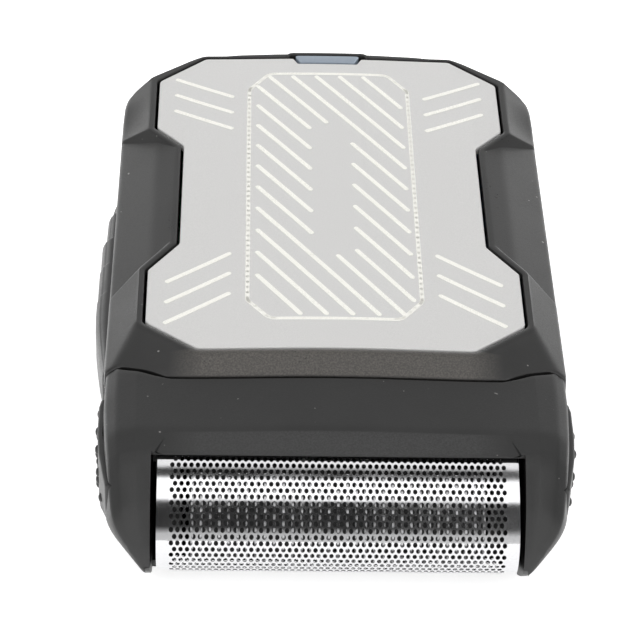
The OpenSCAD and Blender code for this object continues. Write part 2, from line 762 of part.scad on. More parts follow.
pad_z = [6.5, 17.5];
pad_outline = [[29.3, -25.6], [30.1, -25.6], [30.35, -27.2], [30.3, -32.5], [30, -36.5],
    [29.35, -40.5], [28.85, -43.2], [27.8, -43.2], [28.6, -37.6], [29.3, -33]];
pocket_x = pad_outline[0][0] - button_travel - 0.2;
pocket_outline = [[pocket_x, -25.3], [33, -25.3], [33, -43.5], [pocket_x - 1.5, -43.5],
    [pocket_x - 0.7, -37.9], [pocket_x, -33.3]];
arm_x = 20.3;
stem_block_y = [-34, -32];
spring_place = [-37, 9.5];
spring_x = [24.6, 28.5];
dot_pitch = 3.62;
dot_rows = [[15.6, -26.2, 3], [13.2, -28, 3], [10.8, -26.2, 4], [8.4, -28, 2]];
dot_spots = [for (r = dot_rows) for (i = [0:r[2] - 1]) [r[1] - dot_pitch * i, r[0]]];

// How far out the pad's face is at y
function pad_face(y) = lookup(y, [for (i = [6:-1:1]) [pad_outline[i][1], pad_outline[i][0]]]);

// Everything beyond the bevel plane of the right cheek, moved out by d
module cheek_bevel(d) {
    translate(bevel_at) rotate(bevel_tilt) block([d, -25, -25], [15, 25, 25]);
}

module cap_form() {
    difference() {
        intersection() {
            linear_extrude(30) polygon(both(cap_half));
            along_y(-49, cap_y) polygon(both(cap_section));
            along_x(-half_w, half_w) polygon(cap_side);
        }
        both_sides() cheek_bevel(0);
    }
}

module head_cap() {
    color([0.26, 0.26, 0.26]) difference() {
        union() {
            difference() {
                cap_form();
                block([-bay_x, -60, bay_z[0]], [bay_x, cap_y + 1, bay_z[1]]);
                block([-bay_x, -60, -1], [bay_x, lip_end_y, 30]);
                // The lips thin out towards the foil, above and below
                along_x(-bay_x, bay_x) polygon([[-37.2, 21.9], [-44, 19.9], [-44, 30], [-37.2, 30]]);
                along_x(-bay_x, bay_x) polygon([[-37.2, 2.2], [-44, 3.95], [-44, -6], [-37.2, -6]]);
            }
            both_sides() block([seat_x, foil_spring_y[1], seat_z[0]], [bay_x + 0.3, -32.6, seat_z[1]]);
        }
        translate([0, 0, roof_z]) linear_extrude(3) lip_outline(0.15);
        both_sides() {
            translate([0, 0, pad_z[0] - 0.3]) linear_extrude(pad_z[1] - pad_z[0] + 0.6)
                polygon(pocket_outline);
            block([bay_x - 1, stem_block_y[0] - 0.3, arm_z[0] - 0.3],
                [half_w, stem_block_y[1] + 0.3, arm_z[1] + 0.3]);
            rod_x(spring_place[0], spring_place[1], spring_x[0], half_w, 2.1);
        }
    }
}

module release_button() {
    union() {
        difference() {
            translate([0, 0, pad_z[0]]) linear_extrude(pad_z[1] - pad_z[0]) polygon(pad_outline);
            cheek_bevel(0.5);
        }
        for (p = dot_spots) rod_x(p[0], p[1], pad_face(p[0]) - 0.5, pad_face(p[0]) + 0.35, 0.62);
        block([arm_x, stem_block_y[0], arm_z[0]], [29.4, stem_block_y[1], arm_z[1]]);
        block([arm_x, stem_block_y[0], arm_z[0]], [21.3, barb_y[1], arm_z[1]]);
        block([21.2, barb_y[0], arm_z[0]], [22.7, barb_y[1], arm_z[1]]);
    }
}

module release_button_left() {
    color([0.13, 0.13, 0.13]) mirror([1, 0, 0]) release_button();
}

module release_button_right() {
    color([0.13, 0.13, 0.13]) release_button();
}

module release_spring() {
    translate([spring_x[0], spring_place[0], spring_place[1]]) rotate([0, 90, 0])
        coil_spring(1.5, 0.25, spring_x[1] - spring_x[0], 5);
}

module release_spring_left() {
    color([0.75, 0.75, 0.78]) mirror([1, 0, 0]) release_spring();
}

module release_spring_right() {
    color([0.75, 0.75, 0.78]) release_spring();
}

// ---------- seal and fasteners ----------

module housing_gasket() {
    color([0.1, 0.1, 0.1]) gasket_ring(0, 0.38);
}

module housing_screws() {
    color([0.62, 0.62, 0.65]) for (p = screw_spots) translate([p[0], p[1], 0]) difference() {
        union() {
            translate([0, 0, head_z[0]]) cylinder(r = head_r, h = head_z[1] - head_z[0]);
            translate([0, 0, head_z[1] - 0.2]) cylinder(r = screw_r, h = screw_top - head_z[1]);
        }
        for (a = [0, 90]) rotate([0, 0, a])
            block([-1.2, -0.25, head_z[0] - 1], [1.2, 0.25, head_z[0] + 0.7]);
    }
}

front_housing();
rear_housing();
front_panel();
indicator_lens();
indicator_led();
circuit_board();
board_components();
board_screws();
charging_port();
port_tongue();
switch_body();
switch_lever();
power_slider();
battery_cell();
battery_tabs();
power_leads();
inner_chassis();
motor_can();
motor_end_bell();
motor_armature();
motor_shaft();
motor_clamp();
motor_leads();
eccentric_cam();
neck_plate();
neck_screws();
guide_rods();
oscillating_bridge();
stem_seal();
cutter_spring();
cutter_carrier();
cutter_blades();
foil();
foil_frame();
foil_end_plates();
foil_springs();
head_cap();
release_button_left();
release_button_right();
release_spring_left();
release_spring_right();
housing_gasket();
housing_screws();
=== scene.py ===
import json
import math

import bmesh
import bpy
from mathutils import Matrix, Vector

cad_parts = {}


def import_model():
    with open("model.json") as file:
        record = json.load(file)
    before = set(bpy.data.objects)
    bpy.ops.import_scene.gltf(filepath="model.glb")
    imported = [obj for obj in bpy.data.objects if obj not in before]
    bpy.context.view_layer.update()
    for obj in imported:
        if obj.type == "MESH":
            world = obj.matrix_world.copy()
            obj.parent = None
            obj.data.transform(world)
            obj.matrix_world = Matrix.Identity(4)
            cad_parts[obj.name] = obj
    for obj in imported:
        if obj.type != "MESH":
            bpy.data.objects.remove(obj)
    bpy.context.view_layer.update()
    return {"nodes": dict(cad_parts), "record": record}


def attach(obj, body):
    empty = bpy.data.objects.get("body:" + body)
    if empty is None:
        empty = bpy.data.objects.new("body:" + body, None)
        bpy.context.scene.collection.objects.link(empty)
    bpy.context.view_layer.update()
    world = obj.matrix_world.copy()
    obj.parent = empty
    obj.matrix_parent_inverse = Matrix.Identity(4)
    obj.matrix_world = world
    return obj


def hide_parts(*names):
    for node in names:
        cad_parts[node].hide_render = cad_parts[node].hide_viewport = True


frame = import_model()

# Lengths are in millimetres, in the part's own frame, and become metres in build().
MM = 0.001


# ---------- mesh helpers ----------

def lerp(a, b, t):
    return a + (b - a) * t


def mix(p, q, t):
    return tuple(lerp(a, b, t) for a, b in zip(p, q))


def smoothstep(t):
    t = min(max(t, 0.0), 1.0)
    return t * t * (3 - 2 * t)


def smin(a, b, k):
    """The smaller of two heights, with the crease rounded over k."""
    h = max(k - abs(a - b), 0.0) / k
    return min(a, b) - h * h * k / 4


def smax(a, b, k):
    return -smin(-a, -b, k)


def along(table, u):
    """A point or number from a table of (u, value) rows, by straight lines between them."""
    if u <= table[0][0]:
        return table[0][1]
    for (u0, a), (u1, b) in zip(table, table[1:]):
        if u <= u1:
            t = (u - u0) / (u1 - u0)
            return mix(a, b, t) if isinstance(a, tuple) else lerp(a, b, t)
    return table[-1][1]


def soft(table, u, w, taps=9):
    """The same, averaged over u - w to u + w, so its corners are round."""
    values = [along(table, u + w * (2 * i / (taps - 1) - 1)) for i in range(taps)]
    if isinstance(values[0], tuple):
        return tuple(sum(v[i] for v in values) / taps for i in range(len(values[0])))
    return sum(values) / taps


def rounded(points, radii, step, closed=False):
    """Rows (u, point) along a 2-D polyline with round corners. u counts the corners."""
    rows = []
    n = len(points)
    for i in range(n):
        p = Vector(points[i])
        before = Vector(points[i - 1]) if closed or i else None
        after = Vector(points[(i + 1) % n]) if closed or i < n - 1 else None
        if before is None or after is None or not radii[i]:
            rows.append((float(i), tuple(p)))
            continue
        a, b = (before - p).normalized(), (after - p).normalized()
        half = a.angle(b) / 2
        cut = radii[i] / math.tan(half)
        count = max(3, int((math.pi - 2 * half) * radii[i] / step * 1.5) + 2)
        centre = p + (a + b).normalized() * (radii[i] / math.sin(half))
        start, end = p + a * cut - centre, p + b * cut - centre
        turn = start.angle_signed(end)
        for k in range(count + 1):
            t = k / count
            c, s = math.cos(-turn * t), math.sin(-turn * t)
            v = Vector((start.x * c - start.y * s, start.x * s + start.y * c))
            u = i + (t - 0.5) * 2 * cut / ((p - before).length if t < 0.5 else (after - p).length)
            rows.append((u, tuple(centre + v)))
    if closed:
        rows.append((rows[0][0] + n, rows[0][1]))
    out = []
    for (u0, p0), (u1, p1) in zip(rows, rows[1:]):
        count = max(1, round((Vector(p1) - Vector(p0)).length / step))
        out += [(lerp(u0, u1, k / count), mix(p0, p1, k / count)) for k in range(count)]
    return out if closed else out + [rows[-1]]


def normals(points, closed=False):
    """Right-hand unit normals of a 2-D polyline."""
    out = []
    n = len(points)
    for i in range(n):
        a = points[i - 1] if closed or i else points[i]
        b = points[(i + 1) % n] if closed or i < n - 1 else points[i]
        d = Vector((b[0] - a[0], b[1] - a[1])).normalized()
        out.append((d.y, -d.x))
    return out


def chord_normals(points, reach):
    """Normals across the chord from reach before to reach after each point. They turn slowly
    round a corner, so a deep inset doesn't cross itself."""
    at = [0]
    for a, b in zip(points, points[1:]):
        at.append(at[-1] + math.dist(a, b))
    table = list(zip(at, points))
    result = []
    for s in at:
        a, b = along(table, s - reach), along(table, s + reach)
        d = Vector((b[0] - a[0], b[1] - a[1])).normalized()
        result.append((d.y, -d.x))
    return result


def grid_faces(rows, columns, wrap=False, start=0):
    """Quads of a grid of vertices, row by row."""
    last = columns if wrap else columns - 1
    return [(start + r * columns + c, start + r * columns + (c + 1) % columns,
             start + (r + 1) * columns + (c + 1) % columns, start + (r + 1) * columns + c)
            for r in range(rows - 1) for c in range(last)]


def closed_faces(rings, n):
    """Faces of a tube of rings with n points each, closed at both ends."""
    ends = [tuple(range(n)), tuple(range((rings - 1) * n, rings * n))]
    return grid_faces(rings, n, wrap=True) + ends


def build(name, verts, faces, mirror=False, weld=0.004, crease=38, facing=None):
    """An object from millimetre points, with smooth shading and sharp creases. An open shell
    says which way its flattest side faces."""
    bm = bmesh.new()
    made = [bm.verts.new([c * MM for c in v]) for v in verts]
    for f in faces:
        if len(set(f)) > 2:
            bm.faces.new([made[i] for i in dict.fromkeys(f)])
    if mirror:
        copy = bmesh.ops.duplicate(bm, geom=bm.verts[:] + bm.faces[:])
        moved = [g for g in copy["geom"] if isinstance(g, bmesh.types.BMVert)]
        bmesh.ops.scale(bm, vec=(-1, 1, 1), verts=moved)
    bmesh.ops.remove_doubles(bm, verts=bm.verts, dist=weld * MM)
    bmesh.ops.dissolve_degenerate(bm, edges=bm.edges, dist=weld * MM / 4)
    bmesh.ops.recalc_face_normals(bm, faces=bm.faces)
    if facing and sum(f.normal.dot(Vector(facing)) * f.calc_area() for f in bm.faces) < 0:
        bmesh.ops.reverse_faces(bm, faces=bm.faces)
    mesh = bpy.data.meshes.new(name)
    bm.to_mesh(mesh)
    bm.free()
    obj = bpy.data.objects.new(name, mesh)
    bpy.context.collection.objects.link(obj)
    finish_mesh(obj, crease)
    return obj


def finish_mesh(obj, crease=38):
    obj.data.polygons.foreach_set("use_smooth", [True] * len(obj.data.polygons))
    obj.data.set_sharp_from_angle(angle=math.radians(crease))


def modify(obj, kind, crease=38, **settings):
    """Adds a modifier and applies it at once."""
    m = obj.modifiers.new(kind.lower(), kind)
    for key, value in settings.items():
        setattr(m, key, value)
    deps = bpy.context.evaluated_depsgraph_get()
    mesh = bpy.data.meshes.new_from_object(obj.evaluated_get(deps))
    obj.modifiers.clear()
    old, obj.data = obj.data, mesh
    bpy.data.meshes.remove(old)
    finish_mesh(obj, crease)
    return obj


def cut(obj, *cutters):
    """Cuts helper solids out of a piece and removes them."""
    for c in cutters:
        modify(obj, "BOOLEAN", operation="DIFFERENCE", solver="EXACT", object=c)
        bpy.data.objects.remove(c)
    return obj


def prism(name, outline, lo, hi, axis="z"):
    """A solid from an outline across z, or across y, drawn out from lo to hi."""
    verts = [(a, b, h) if axis == "z" else (a, h, b) for h in (lo, hi) for a, b in outline]
    return build(name, verts, closed_faces(2, len(outline)))


def circle(cx, cy, r, n=32):
    turns = [2 * math.pi * i / n for i in range(n)]
    return [(cx + r * math.cos(a), cy + r * math.sin(a)) for a in turns]


def slot_outline(cx, cy, w, h, n=12):
    """A slot with round ends, w across and h high."""
    out = []
    for side, first in ((1, -90), (-1, 90)):
        for i in range(n + 1):
            a = math.radians(first + 180 * i / n)
            out.append((cx + side * (w - h) / 2 + h / 2 * math.cos(a), cy + h / 2 * math.sin(a)))
    return out


def both(half):
    """A closed outline from its right half."""
    return list(half) + [(-x, y) for x, y in reversed(half) if abs(x) > 1e-6]


def place(obj, body, slot, material, *replaced):
    """Puts a finished piece on its body, with its material, in place of the named CAD nodes."""
    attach(obj, body)
    if replaced:
        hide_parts(*replaced)
    obj.data.materials.clear()
    obj.data.materials.append(material)
    return obj


# ---------- materials ----------

def nodes_of(name):
    m = bpy.data.materials.new(name)
    m.use_nodes = True
    tree = m.node_tree
    return m, tree, tree.nodes["Principled BSDF"]


def add(tree, kind, inputs=None, **props):
    node = tree.nodes.new(kind)
    for key, value in props.items():
        setattr(node, key, value)
    for key, value in (inputs or {}).items():
        if isinstance(value, bpy.types.NodeSocket):
            tree.links.new(value, node.inputs[key])
        else:
            node.inputs[key].default_value = value
    return node


def noise(tree, coords, scale, detail=3.0, stretch=None, rough=0.55):
    """A noise value with features 1 / scale mm across; stretch pulls it along an axis."""
    vector = coords
    if stretch:
        vector = add(tree, "ShaderNodeMapping", {"Vector": coords, "Scale": stretch}).outputs["Vector"]
    return add(tree, "ShaderNodeTexNoise",
               {"Vector": vector, "Scale": scale / MM, "Detail": detail, "Roughness": rough}).outputs["Fac"]


def remap(tree, value, low, high, to_low, to_high):
    return add(tree, "ShaderNodeMapRange", {"Value": value, "From Min": low, "From Max": high,
                                            "To Min": to_low, "To Max": to_high}).outputs["Result"]


def blend_colour(tree, factor, a, b):
    node = add(tree, "ShaderNodeMix", data_type="RGBA")
    for name, value in (("Factor", factor), ("A", a), ("B", b)):
        socket = [s for s in node.inputs if s.name == name and s.enabled][0]
        if isinstance(value, bpy.types.NodeSocket):
            tree.links.new(value, socket)
        else:
            socket.default_value = value if isinstance(value, float) else (*value, 1.0)
    return [s for s in node.outputs if s.enabled][0]


def plastic(name, colour, rough=0.45, grain=5.0, depth=0.02, spread=0.12, specks=0.0, gloss=0.5,
            grain_and_painted_glint=None):
    """Moulded plastic: fine spark-eroded grain, uneven sheen, a painted highlight along convex edges, a few
    dust specks and, where given, a top facet lightened by painted glint.
    """
    m, t, b = nodes_of(name)
    xyz = add(t, "ShaderNodeTexCoord").outputs["Object"]
    cloud = noise(t, xyz, 0.12, 4)
    fine = noise(t, xyz, grain, 2)
    light = tuple(min(1, c * (1 + spread) + 0.002) for c in colour)
    dark = tuple(c * (1 - spread) for c in colour)
    base = blend_colour(t, remap(t, cloud, 0.35, 0.65, 0, 1), dark, light)
    # Convex edges are mixed to a lighter colour: a painted highlight where the edges catch the light
    edge = add(t, "ShaderNodeNewGeometry").outputs["Pointiness"]
    painted_edge_highlight = remap(t, edge, 0.52, 0.62, 0, 0.35)
    base = blend_colour(t, painted_edge_highlight, base, tuple(min(1, c * 1.9 + 0.01) for c in colour))
    if specks:
        dots = noise(t, xyz, 1.6, 0)
        base = blend_colour(t, remap(t, dots, 0.86, 0.89, 0, specks), base, (0.35, 0.34, 0.33))
    if grain_and_painted_glint:
        # A lighter, glittering facet on the top, with its own moulded grain: its lighter colour is painted
        # glint, standing for the sparkle and light the facet catches. The argument gives its two ends in y
        # and its colour
        place_of = add(t, "ShaderNodeSeparateXYZ", {"Vector": xyz}).outputs
        side = add(t, "ShaderNodeMath", {0: place_of["X"]}, operation="ABSOLUTE").outputs[0]
        spots = [remap(t, place_of["Y"], grain_and_painted_glint[0] * MM, (grain_and_painted_glint[0] + 0.3) * MM, 0, 1),
                 remap(t, place_of["Y"], (grain_and_painted_glint[1] - 0.3) * MM, grain_and_painted_glint[1] * MM, 1, 0),
                 remap(t, place_of["Z"], 20.5 * MM, 21 * MM, 0, 1),
                 remap(t, side, 17 * MM, 21.5 * MM, 1, 0),
                 remap(t, noise(t, xyz, 4.5, 1), 0.35, 0.7, 0.4, 1)]
        painted_glint_mask = spots[0]
        for other in spots[1:]:
            painted_glint_mask = add(t, "ShaderNodeMath", {0: painted_glint_mask, 1: other}, operation="MULTIPLY").outputs[0]
        base = blend_colour(t, painted_glint_mask, base, grain_and_painted_glint[2])
    t.links.new(base, b.inputs["Base Color"])
    rough_field = add(t, "ShaderNodeMath", {0: remap(t, cloud, 0.3, 0.7, rough - 0.05, rough + 0.05),
                                            1: remap(t, fine, 0.3, 0.7, -0.06, 0.06)}, operation="ADD")
    t.links.new(rough_field.outputs[0], b.inputs["Roughness"])
    bump = add(t, "ShaderNodeBump", {"Height": fine, "Strength": 1.0, "Distance": depth * MM})
    t.links.new(bump.outputs["Normal"], b.inputs["Normal"])
    b.inputs["IOR"].default_value = 1.5
    b.inputs["Specular IOR Level"].default_value = gloss
    return m


def metal(name, colour, rough=0.25, stretch=(1, 1, 1), grain=3.0, depth=0.004, dull=0.0, metallic=1.0):
    """Metal with drawn or rolled lines, faint smears and duller patches."""
    m, t, b = nodes_of(name)
    xyz = add(t, "ShaderNodeTexCoord").outputs["Object"]
    lines = noise(t, xyz, grain, 3, stretch=stretch)
    smear = noise(t, xyz, 0.15, 3)
    base = blend_colour(t, remap(t, lines, 0.3, 0.7, 0, 1), tuple(c * 0.9 for c in colour), colour)
    base = blend_colour(t, remap(t, smear, 0.45, 0.8, 0, dull), base, tuple(c * 0.55 for c in colour))
    t.links.new(base, b.inputs["Base Color"])
    field = add(t, "ShaderNodeMath", {0: remap(t, lines, 0.3, 0.7, rough * 0.8, rough * 1.2),
                                      1: remap(t, smear, 0.3, 0.7, -0.03, 0.05)}, operation="ADD")
    t.links.new(field.outputs[0], b.inputs["Roughness"])
    bump = add(t, "ShaderNodeBump", {"Height": lines, "Strength": 1.0, "Distance": depth * MM})
    t.links.new(bump.outputs["Normal"], b.inputs["Normal"])
    b.inputs["Metallic"].default_value = metallic
    return m


MATERIALS = {
    # The lighter colour on the facet between the seam and the panel is painted glint over the moulded grain
    "housing_black": plastic("charcoal_moulding", (0.013, 0.0128, 0.0125), rough=0.36, grain=4.5,
                             depth=0.010, specks=0.6, gloss=0.46,
                             grain_and_painted_glint=(-27.0, -23.0, (0.092, 0.084, 0.075))),
    "rear_black": plastic("charcoal_back", (0.024, 0.024, 0.024), rough=0.42, grain=4.0, depth=0.014,
                          specks=0.4),
    # The lighter colour on the facet over the bay, towards the lips, is painted glint over the moulded grain
    "head_black": plastic("charcoal_head", (0.011, 0.011, 0.0108), rough=0.42, grain=4.5, depth=0.010,
                          specks=0.5, gloss=0.46, grain_and_painted_glint=(-41.2, -37.6, (0.034, 0.034, 0.034))),
    "button_black": plastic("button_moulding", (0.014, 0.014, 0.014), rough=0.40, grain=5.0, depth=0.008),
    "slider_black": plastic("slider_moulding", (0.018, 0.018, 0.018), rough=0.38, grain=5.0, depth=0.008),
    "frame_black": plastic("frame_moulding", (0.012, 0.012, 0.012), rough=0.5, grain=5.0, depth=0.008),
    "lens_smoke": plastic("smoked_lens", (0.275, 0.325, 0.385), rough=0.12, grain=2.0, depth=0.001,
                          spread=0.05),
    "drive_white": plastic("acetal_white", (0.72, 0.71, 0.68), rough=0.4, grain=4.0, depth=0.004,
                           spread=0.04),
    "chassis_grey": plastic("chassis_grey_moulding", (0.24, 0.24, 0.23), rough=0.5, grain=4.0, depth=0.01),
    "seal_rubber": plastic("seal_rubber_black", (0.012, 0.012, 0.012), rough=0.75, grain=3.0, depth=0.015),
    "cell_wrap": plastic("cell_sleeve", (0.05, 0.16, 0.34), rough=0.28, grain=0.8, depth=0.01, spread=0.08),
    "part_black": plastic("component_epoxy", (0.018, 0.018, 0.019), rough=0.55, grain=6.0, depth=0.006),
    "led_white": plastic("led_body", (0.75, 0.74, 0.66), rough=0.35, grain=2.0, depth=0.002, spread=0.05),
    "wire_insulation": plastic("wire_sleeve", (0.42, 0.03, 0.03), rough=0.4, grain=2.0, depth=0.004),
    "board_green": plastic("board_laminate", (0.012, 0.10, 0.045), rough=0.3, grain=1.2, depth=0.006,
                           spread=0.3),
    "blade_steel": metal("blade_ground", (0.50, 0.50, 0.51), rough=0.30, stretch=(1, 1, 8)),
    "steel": metal("plated_steel", (0.62, 0.62, 0.63), rough=0.24, stretch=(1, 6, 1), dull=0.3),
    "spring_steel": metal("spring_wire", (0.55, 0.55, 0.57), rough=0.28, dull=0.3),
    "nickel": metal("nickel_strip", (0.66, 0.62, 0.54), rough=0.26, stretch=(6, 1, 1), dull=0.2),
    "copper": metal("copper_winding", (0.72, 0.30, 0.12), rough=0.32, stretch=(1, 1, 5), grain=2.0,
                    depth=0.02),
    "foil_chrome": metal("foil_chrome_sheet", (0.66, 0.66, 0.67), rough=0.08, stretch=(1, 5, 5),
                         depth=0.0008),
    "panel_silver": metal("panel_satin", (0.665, 0.66, 0.65), rough=0.42, grain=7.0, depth=0.002,
                          metallic=0.0),
}
BAR_MATERIAL = metal("panel_bars_bright", (0.97, 0.96, 0.90), rough=0.30, grain=6.0, depth=0.002,
                     metallic=0.0)

slots = {s["node"]: s["material_slot"] for s in frame["record"]["subparts"]}
for node, obj in frame["nodes"].items():
    obj.data.materials.clear()
    obj.data.materials.append(MATERIALS[slots[node]])


# ---------- front housing ----------

RIM_Z = 23.75
EDGE_X, EDGE_Z = 29.8, 20.5
PANEL_TOP = 23.78
RECESS_Z = 22.6
SPLIT_Z = 8.0
GAP = 0.27
PANEL = [(0, -22.9), (17.9, -22.9), (24.7, -17.3), (24.75, -5.6), (20.7, 0.7), (20.7, 25.3),
         (24.6, 29.9), (24.6, 42.5), (18, 49), (5, 49), (4.35, 47.55), (0, 47.55)]
PANEL_RADII = [0, 1.1, 1.1, 0.8, 1.5, 1.5, 0.8, 1.1, 1.1, 0.3, 0.3, 0]
OPENING = [(x + 0.12 * (x > 1), y) for x, y in PANEL[:8]]
OPENING += [(18.1, 49.05), (5.7, 49.05), (5.3, 50.0), (0, 50.0)]
# Line where the top meets the side, and the widest outline of the side, by corner of the opening
EDGE = [(0, (0, -26.95)), (0.97, (20.6, -26.93)), (1.05, (21.8, -26.85)), (1.35, (24.5, -25.4)),
        (1.65, (27.4, -24.35)), (1.85, (29.8, -24.3)), (2.05, (29.8, -20.5)), (3, (29.8, -8.6)),
        (4, (29.8, -7)), (5, (29.8, 30.6)), (6, (29.8, 31.8)), (6.4, (29.75, 35.6)), (6.7, (29.6, 39.0)),
        (6.85, (29.3, 40.6)), (7.0, (28.4, 41.8)), (7.15, (26.6, 43.1)), (7.4, (24.6, 44.8)),
        (7.9, (20.4, 48.4)), (8.0, (19.3, 49.1)), (8.5, (12, 50.4)), (9, (6, 50.95)), (10, (5, 51.0)),
        (11, (0, 51.0))]
SIDE = [(0, (0, -26.95)), (0.97, (20.6, -26.93)), (1.05, (21.8, -26.85)), (1.35, (24.5, -25.4)),
        (1.65, (27.4, -24.35)), (1.85, (30, -24.3)), (2.05, (30, -20.5)), (3, (30, -8.6)),
        (4, (30, -7)), (5, (30, 30.6)), (6, (30, 31.8)), (6.4, (29.95, 35.7)), (6.7, (29.85, 39.1)),
        (6.85, (29.6, 40.8)), (7.0, (28.75, 42.1)), (7.15, (26.95, 43.4)), (7.4, (25, 45.1)),
        (7.9, (20.8, 48.8)), (8.0, (19.7, 49.5)), (8.5, (12.2, 50.9)), (9, (6, 51.45)), (10, (5, 51.5)),
        (11, (0, 51.52))]
# Rows of EDGE up to this one are the lip over the head, without a side wall under them
SEAM_U = 1.66
CROWN, CROWN_X = 0.38, 20
LIP_Z = 20.9


def crown(x):
    """How far the front rises towards its centre line."""
    return CROWN * max(0, 1 - (x / CROWN_X) ** 2) ** 2


def plane(a, b, c):
    """Height over x, y of the plane through three points."""
    n = (Vector(b) - Vector(a)).cross(Vector(c) - Vector(a))
    return lambda x, y: a[2] - (n.x * (x - a[0]) + n.y * (y - a[1])) / n.z


# Where the shoulders and the waist's scoop start to fall
SHOULDER_X, WAIST_X = 25.8, 21.9
far_step = plane((SHOULDER_X, 29.4, RIM_Z), (WAIST_X, 24.8, RIM_Z), (EDGE_X, 31.0, EDGE_Z))
near_step = plane((WAIST_X, 1.2, RIM_Z), (25.95, -5.2, RIM_Z), (EDGE_X, -8.0, EDGE_Z))
near_corner = plane((25.9, -17.9, RIM_Z), (18.35, -24.1, RIM_Z), (24.5, -25.4, 22.1))


def top_height(x, y):
    """Height of the front housing's top, outside the flat rim round the panel."""
    rise = 1 - 0.27 * smoothstep((y - 31) / 9)
    shoulder = RIM_Z - (x - SHOULDER_X) * (RIM_Z - EDGE_Z) / (EDGE_X - SHOULDER_X) * rise
    waist = smin(RIM_Z - 0.30 * (x - WAIST_X), 22.97 - 0.504 * (x - 24.5), 0.08)
    scoop = smax(smax(waist, far_step(x, y), 0.15), near_step(x, y), 0.15)
    z = smin(smin(RIM_Z, shoulder, 0.12), scoop, 0.12)
    z = smin(z, RIM_Z + 0.55 * (y + 24.05), 0.15)
    z = smin(z, near_corner(x, y), 0.5)
    return smin(z, RIM_Z - 0.6 * (y - 50.25), 0.12)


def side_point(u, f, top_z, bottom_z):
    """Point of the side wall, f from the top edge (0) to the lower edge (1)."""
    z = lerp(top_z, bottom_z, f)
    out = math.sin(math.pi / 2 * min(1, (top_z + 0.5 - z) / max(top_z - 13.5, 0.1)))
    if z < 9:
        out -= 0.15 * (9 - z)
    p = mix(soft(EDGE, u, 0.03), soft(SIDE, u, 0.03), out)
    return p[0], p[1], z


def wall_normal(u, reach=0.02):
    """Unit vector out of the side wall, in plan."""
    a, b = soft(SIDE, u - reach, 0.03), soft(SIDE, u + reach, 0.03)
    d = Vector((b[0] - a[0], b[1] - a[1])).normalized()
    return d.y, -d.x


def inner_wall(u, d):
    """Point of the wall's inner face, d under its widest outline; the tail's corners are rounder."""
    w = 0.03 + 0.22 * smoothstep((u - 5.6) / 0.5) * smoothstep((11 - u) / 0.6)
    p, n = soft(SIDE, u, w), wall_normal(u, max(w, 0.02))
    return min(p[0] - n[0] * d, 30 - d), max(p[1] - n[1] * d, d - 24.3)


def housing_ring(u, p, n):
    """Points round the housing's section at the opening's point p, with n its outward normal."""
    lip = u < SEAM_U
    bottom = LIP_Z if lip else SPLIT_Z
    gap = GAP if u < 9 else 0.12
    at = lambda d: (p[0] + n[0] * d, p[1] + n[1] * d)
    rim = at(lerp(1.2, 0.75, smoothstep((u - 6.2) / 0.8)))
    edge = soft(EDGE, u, 0.03)
    ring = [(*at(gap), RECESS_Z), (*at(gap), 23.5), (*at(gap + 0.06), 23.68), (*at(gap + 0.2), RIM_Z)]
    ring += [(*mix(at(gap + 0.2), rim, t), RIM_Z) for t in (0.4, 0.75)]
    # Over the top to the edge, and round it
    reach = Vector(edge) - Vector(rim)
    fillet = min(0.15 if lip else 0.5, reach.length * 0.6)
    stop = Vector(edge) - reach.normalized() * fillet
    for i in range(17):
        q = mix(rim, stop, i / 16)
        ring.append((*q, top_height(*q)))
    start, corner = ring[-1], (*edge, top_height(*edge))
    wall_top = corner[2] - (0.15 if lip else fillet)
    end = (*edge, wall_top) if lip else side_point(u, 0, wall_top, bottom)
    for i in range(1, 7):
        t = i / 6
        ring.append(mix(mix(start, corner, t), mix(corner, end, t), t))
    # Down the side and round its lower edge
    for i in range(1, 15):
        f = i / 14
        if lip:
            ring.append((*edge, lerp(wall_top, bottom, f)))
        else:
            ring.append(side_point(u, f, wall_top, bottom + 0.22))
    last, m = ring[-1], wall_normal(u)
    inset = lambda d: (last[0] - m[0] * d, last[1] - m[1] * d)
    ring += [(*inset(0.05), bottom + 0.08), (*inset(0.22), bottom + 0.02)]
    # Inside: up the wall, along the roof and back to the recess
    if lip:
        ring += [(*inset(0.5), LIP_Z), (*inset(0.8), LIP_Z)]
        low = (*inset(1.2), LIP_Z)
    else:
        ring += [(*inner_wall(u, 1.9), bottom + 0.02), (*inner_wall(u, 1.9), 15.5)]
        low = (*inner_wall(u, 2.5), 18.2)
    ring += [low, (*mix(low[:2], at(gap), 0.6), LIP_Z if lip else 20.3), (*at(gap), LIP_Z)]
    return [(x, y, z + crown(x) if z > LIP_Z + 0.05 else z) for x, y, z in ring]


def on_centre(ring):
    """Moves a ring onto the centre plane, where the mirrored half joins it."""
    return [(0.0, y, z) for x, y, z in ring]


def front_housing():
    rows = rounded(OPENING, PANEL_RADII, 0.42)
    out = normals([p for u, p in rows])
    rings = [housing_ring(u, p, n) for (u, p), n in zip(rows, out)]
    rings[0], rings[-1] = on_centre(rings[0]), on_centre(rings[-1])
    faces = grid_faces(len(rings), len(rings[0]), wrap=True)
    obj = build("front_housing_shell", sum(rings, []), faces, mirror=True)
    port = prism("port_cut", slot_outline(0, 13.35, 9.3, 3.7), 45, 60, "y")
    pocket = prism("slider_cut", [(-35, -23.8), (-29.0, -23.8), (-29.0, 20.15), (-35, 20.15)], 9.85, 18.15)
    way = prism("tongue_cut", [(-35, 8.7), (-26, 8.7), (-26, 17.5), (-35, 17.5)], 12.3, 15.5)
    cut(obj, port, pocket, way)
    return place(obj, "body", "housing_black", MATERIALS["housing_black"], "front_housing")


front_housing()


# ---------- rear housing ----------

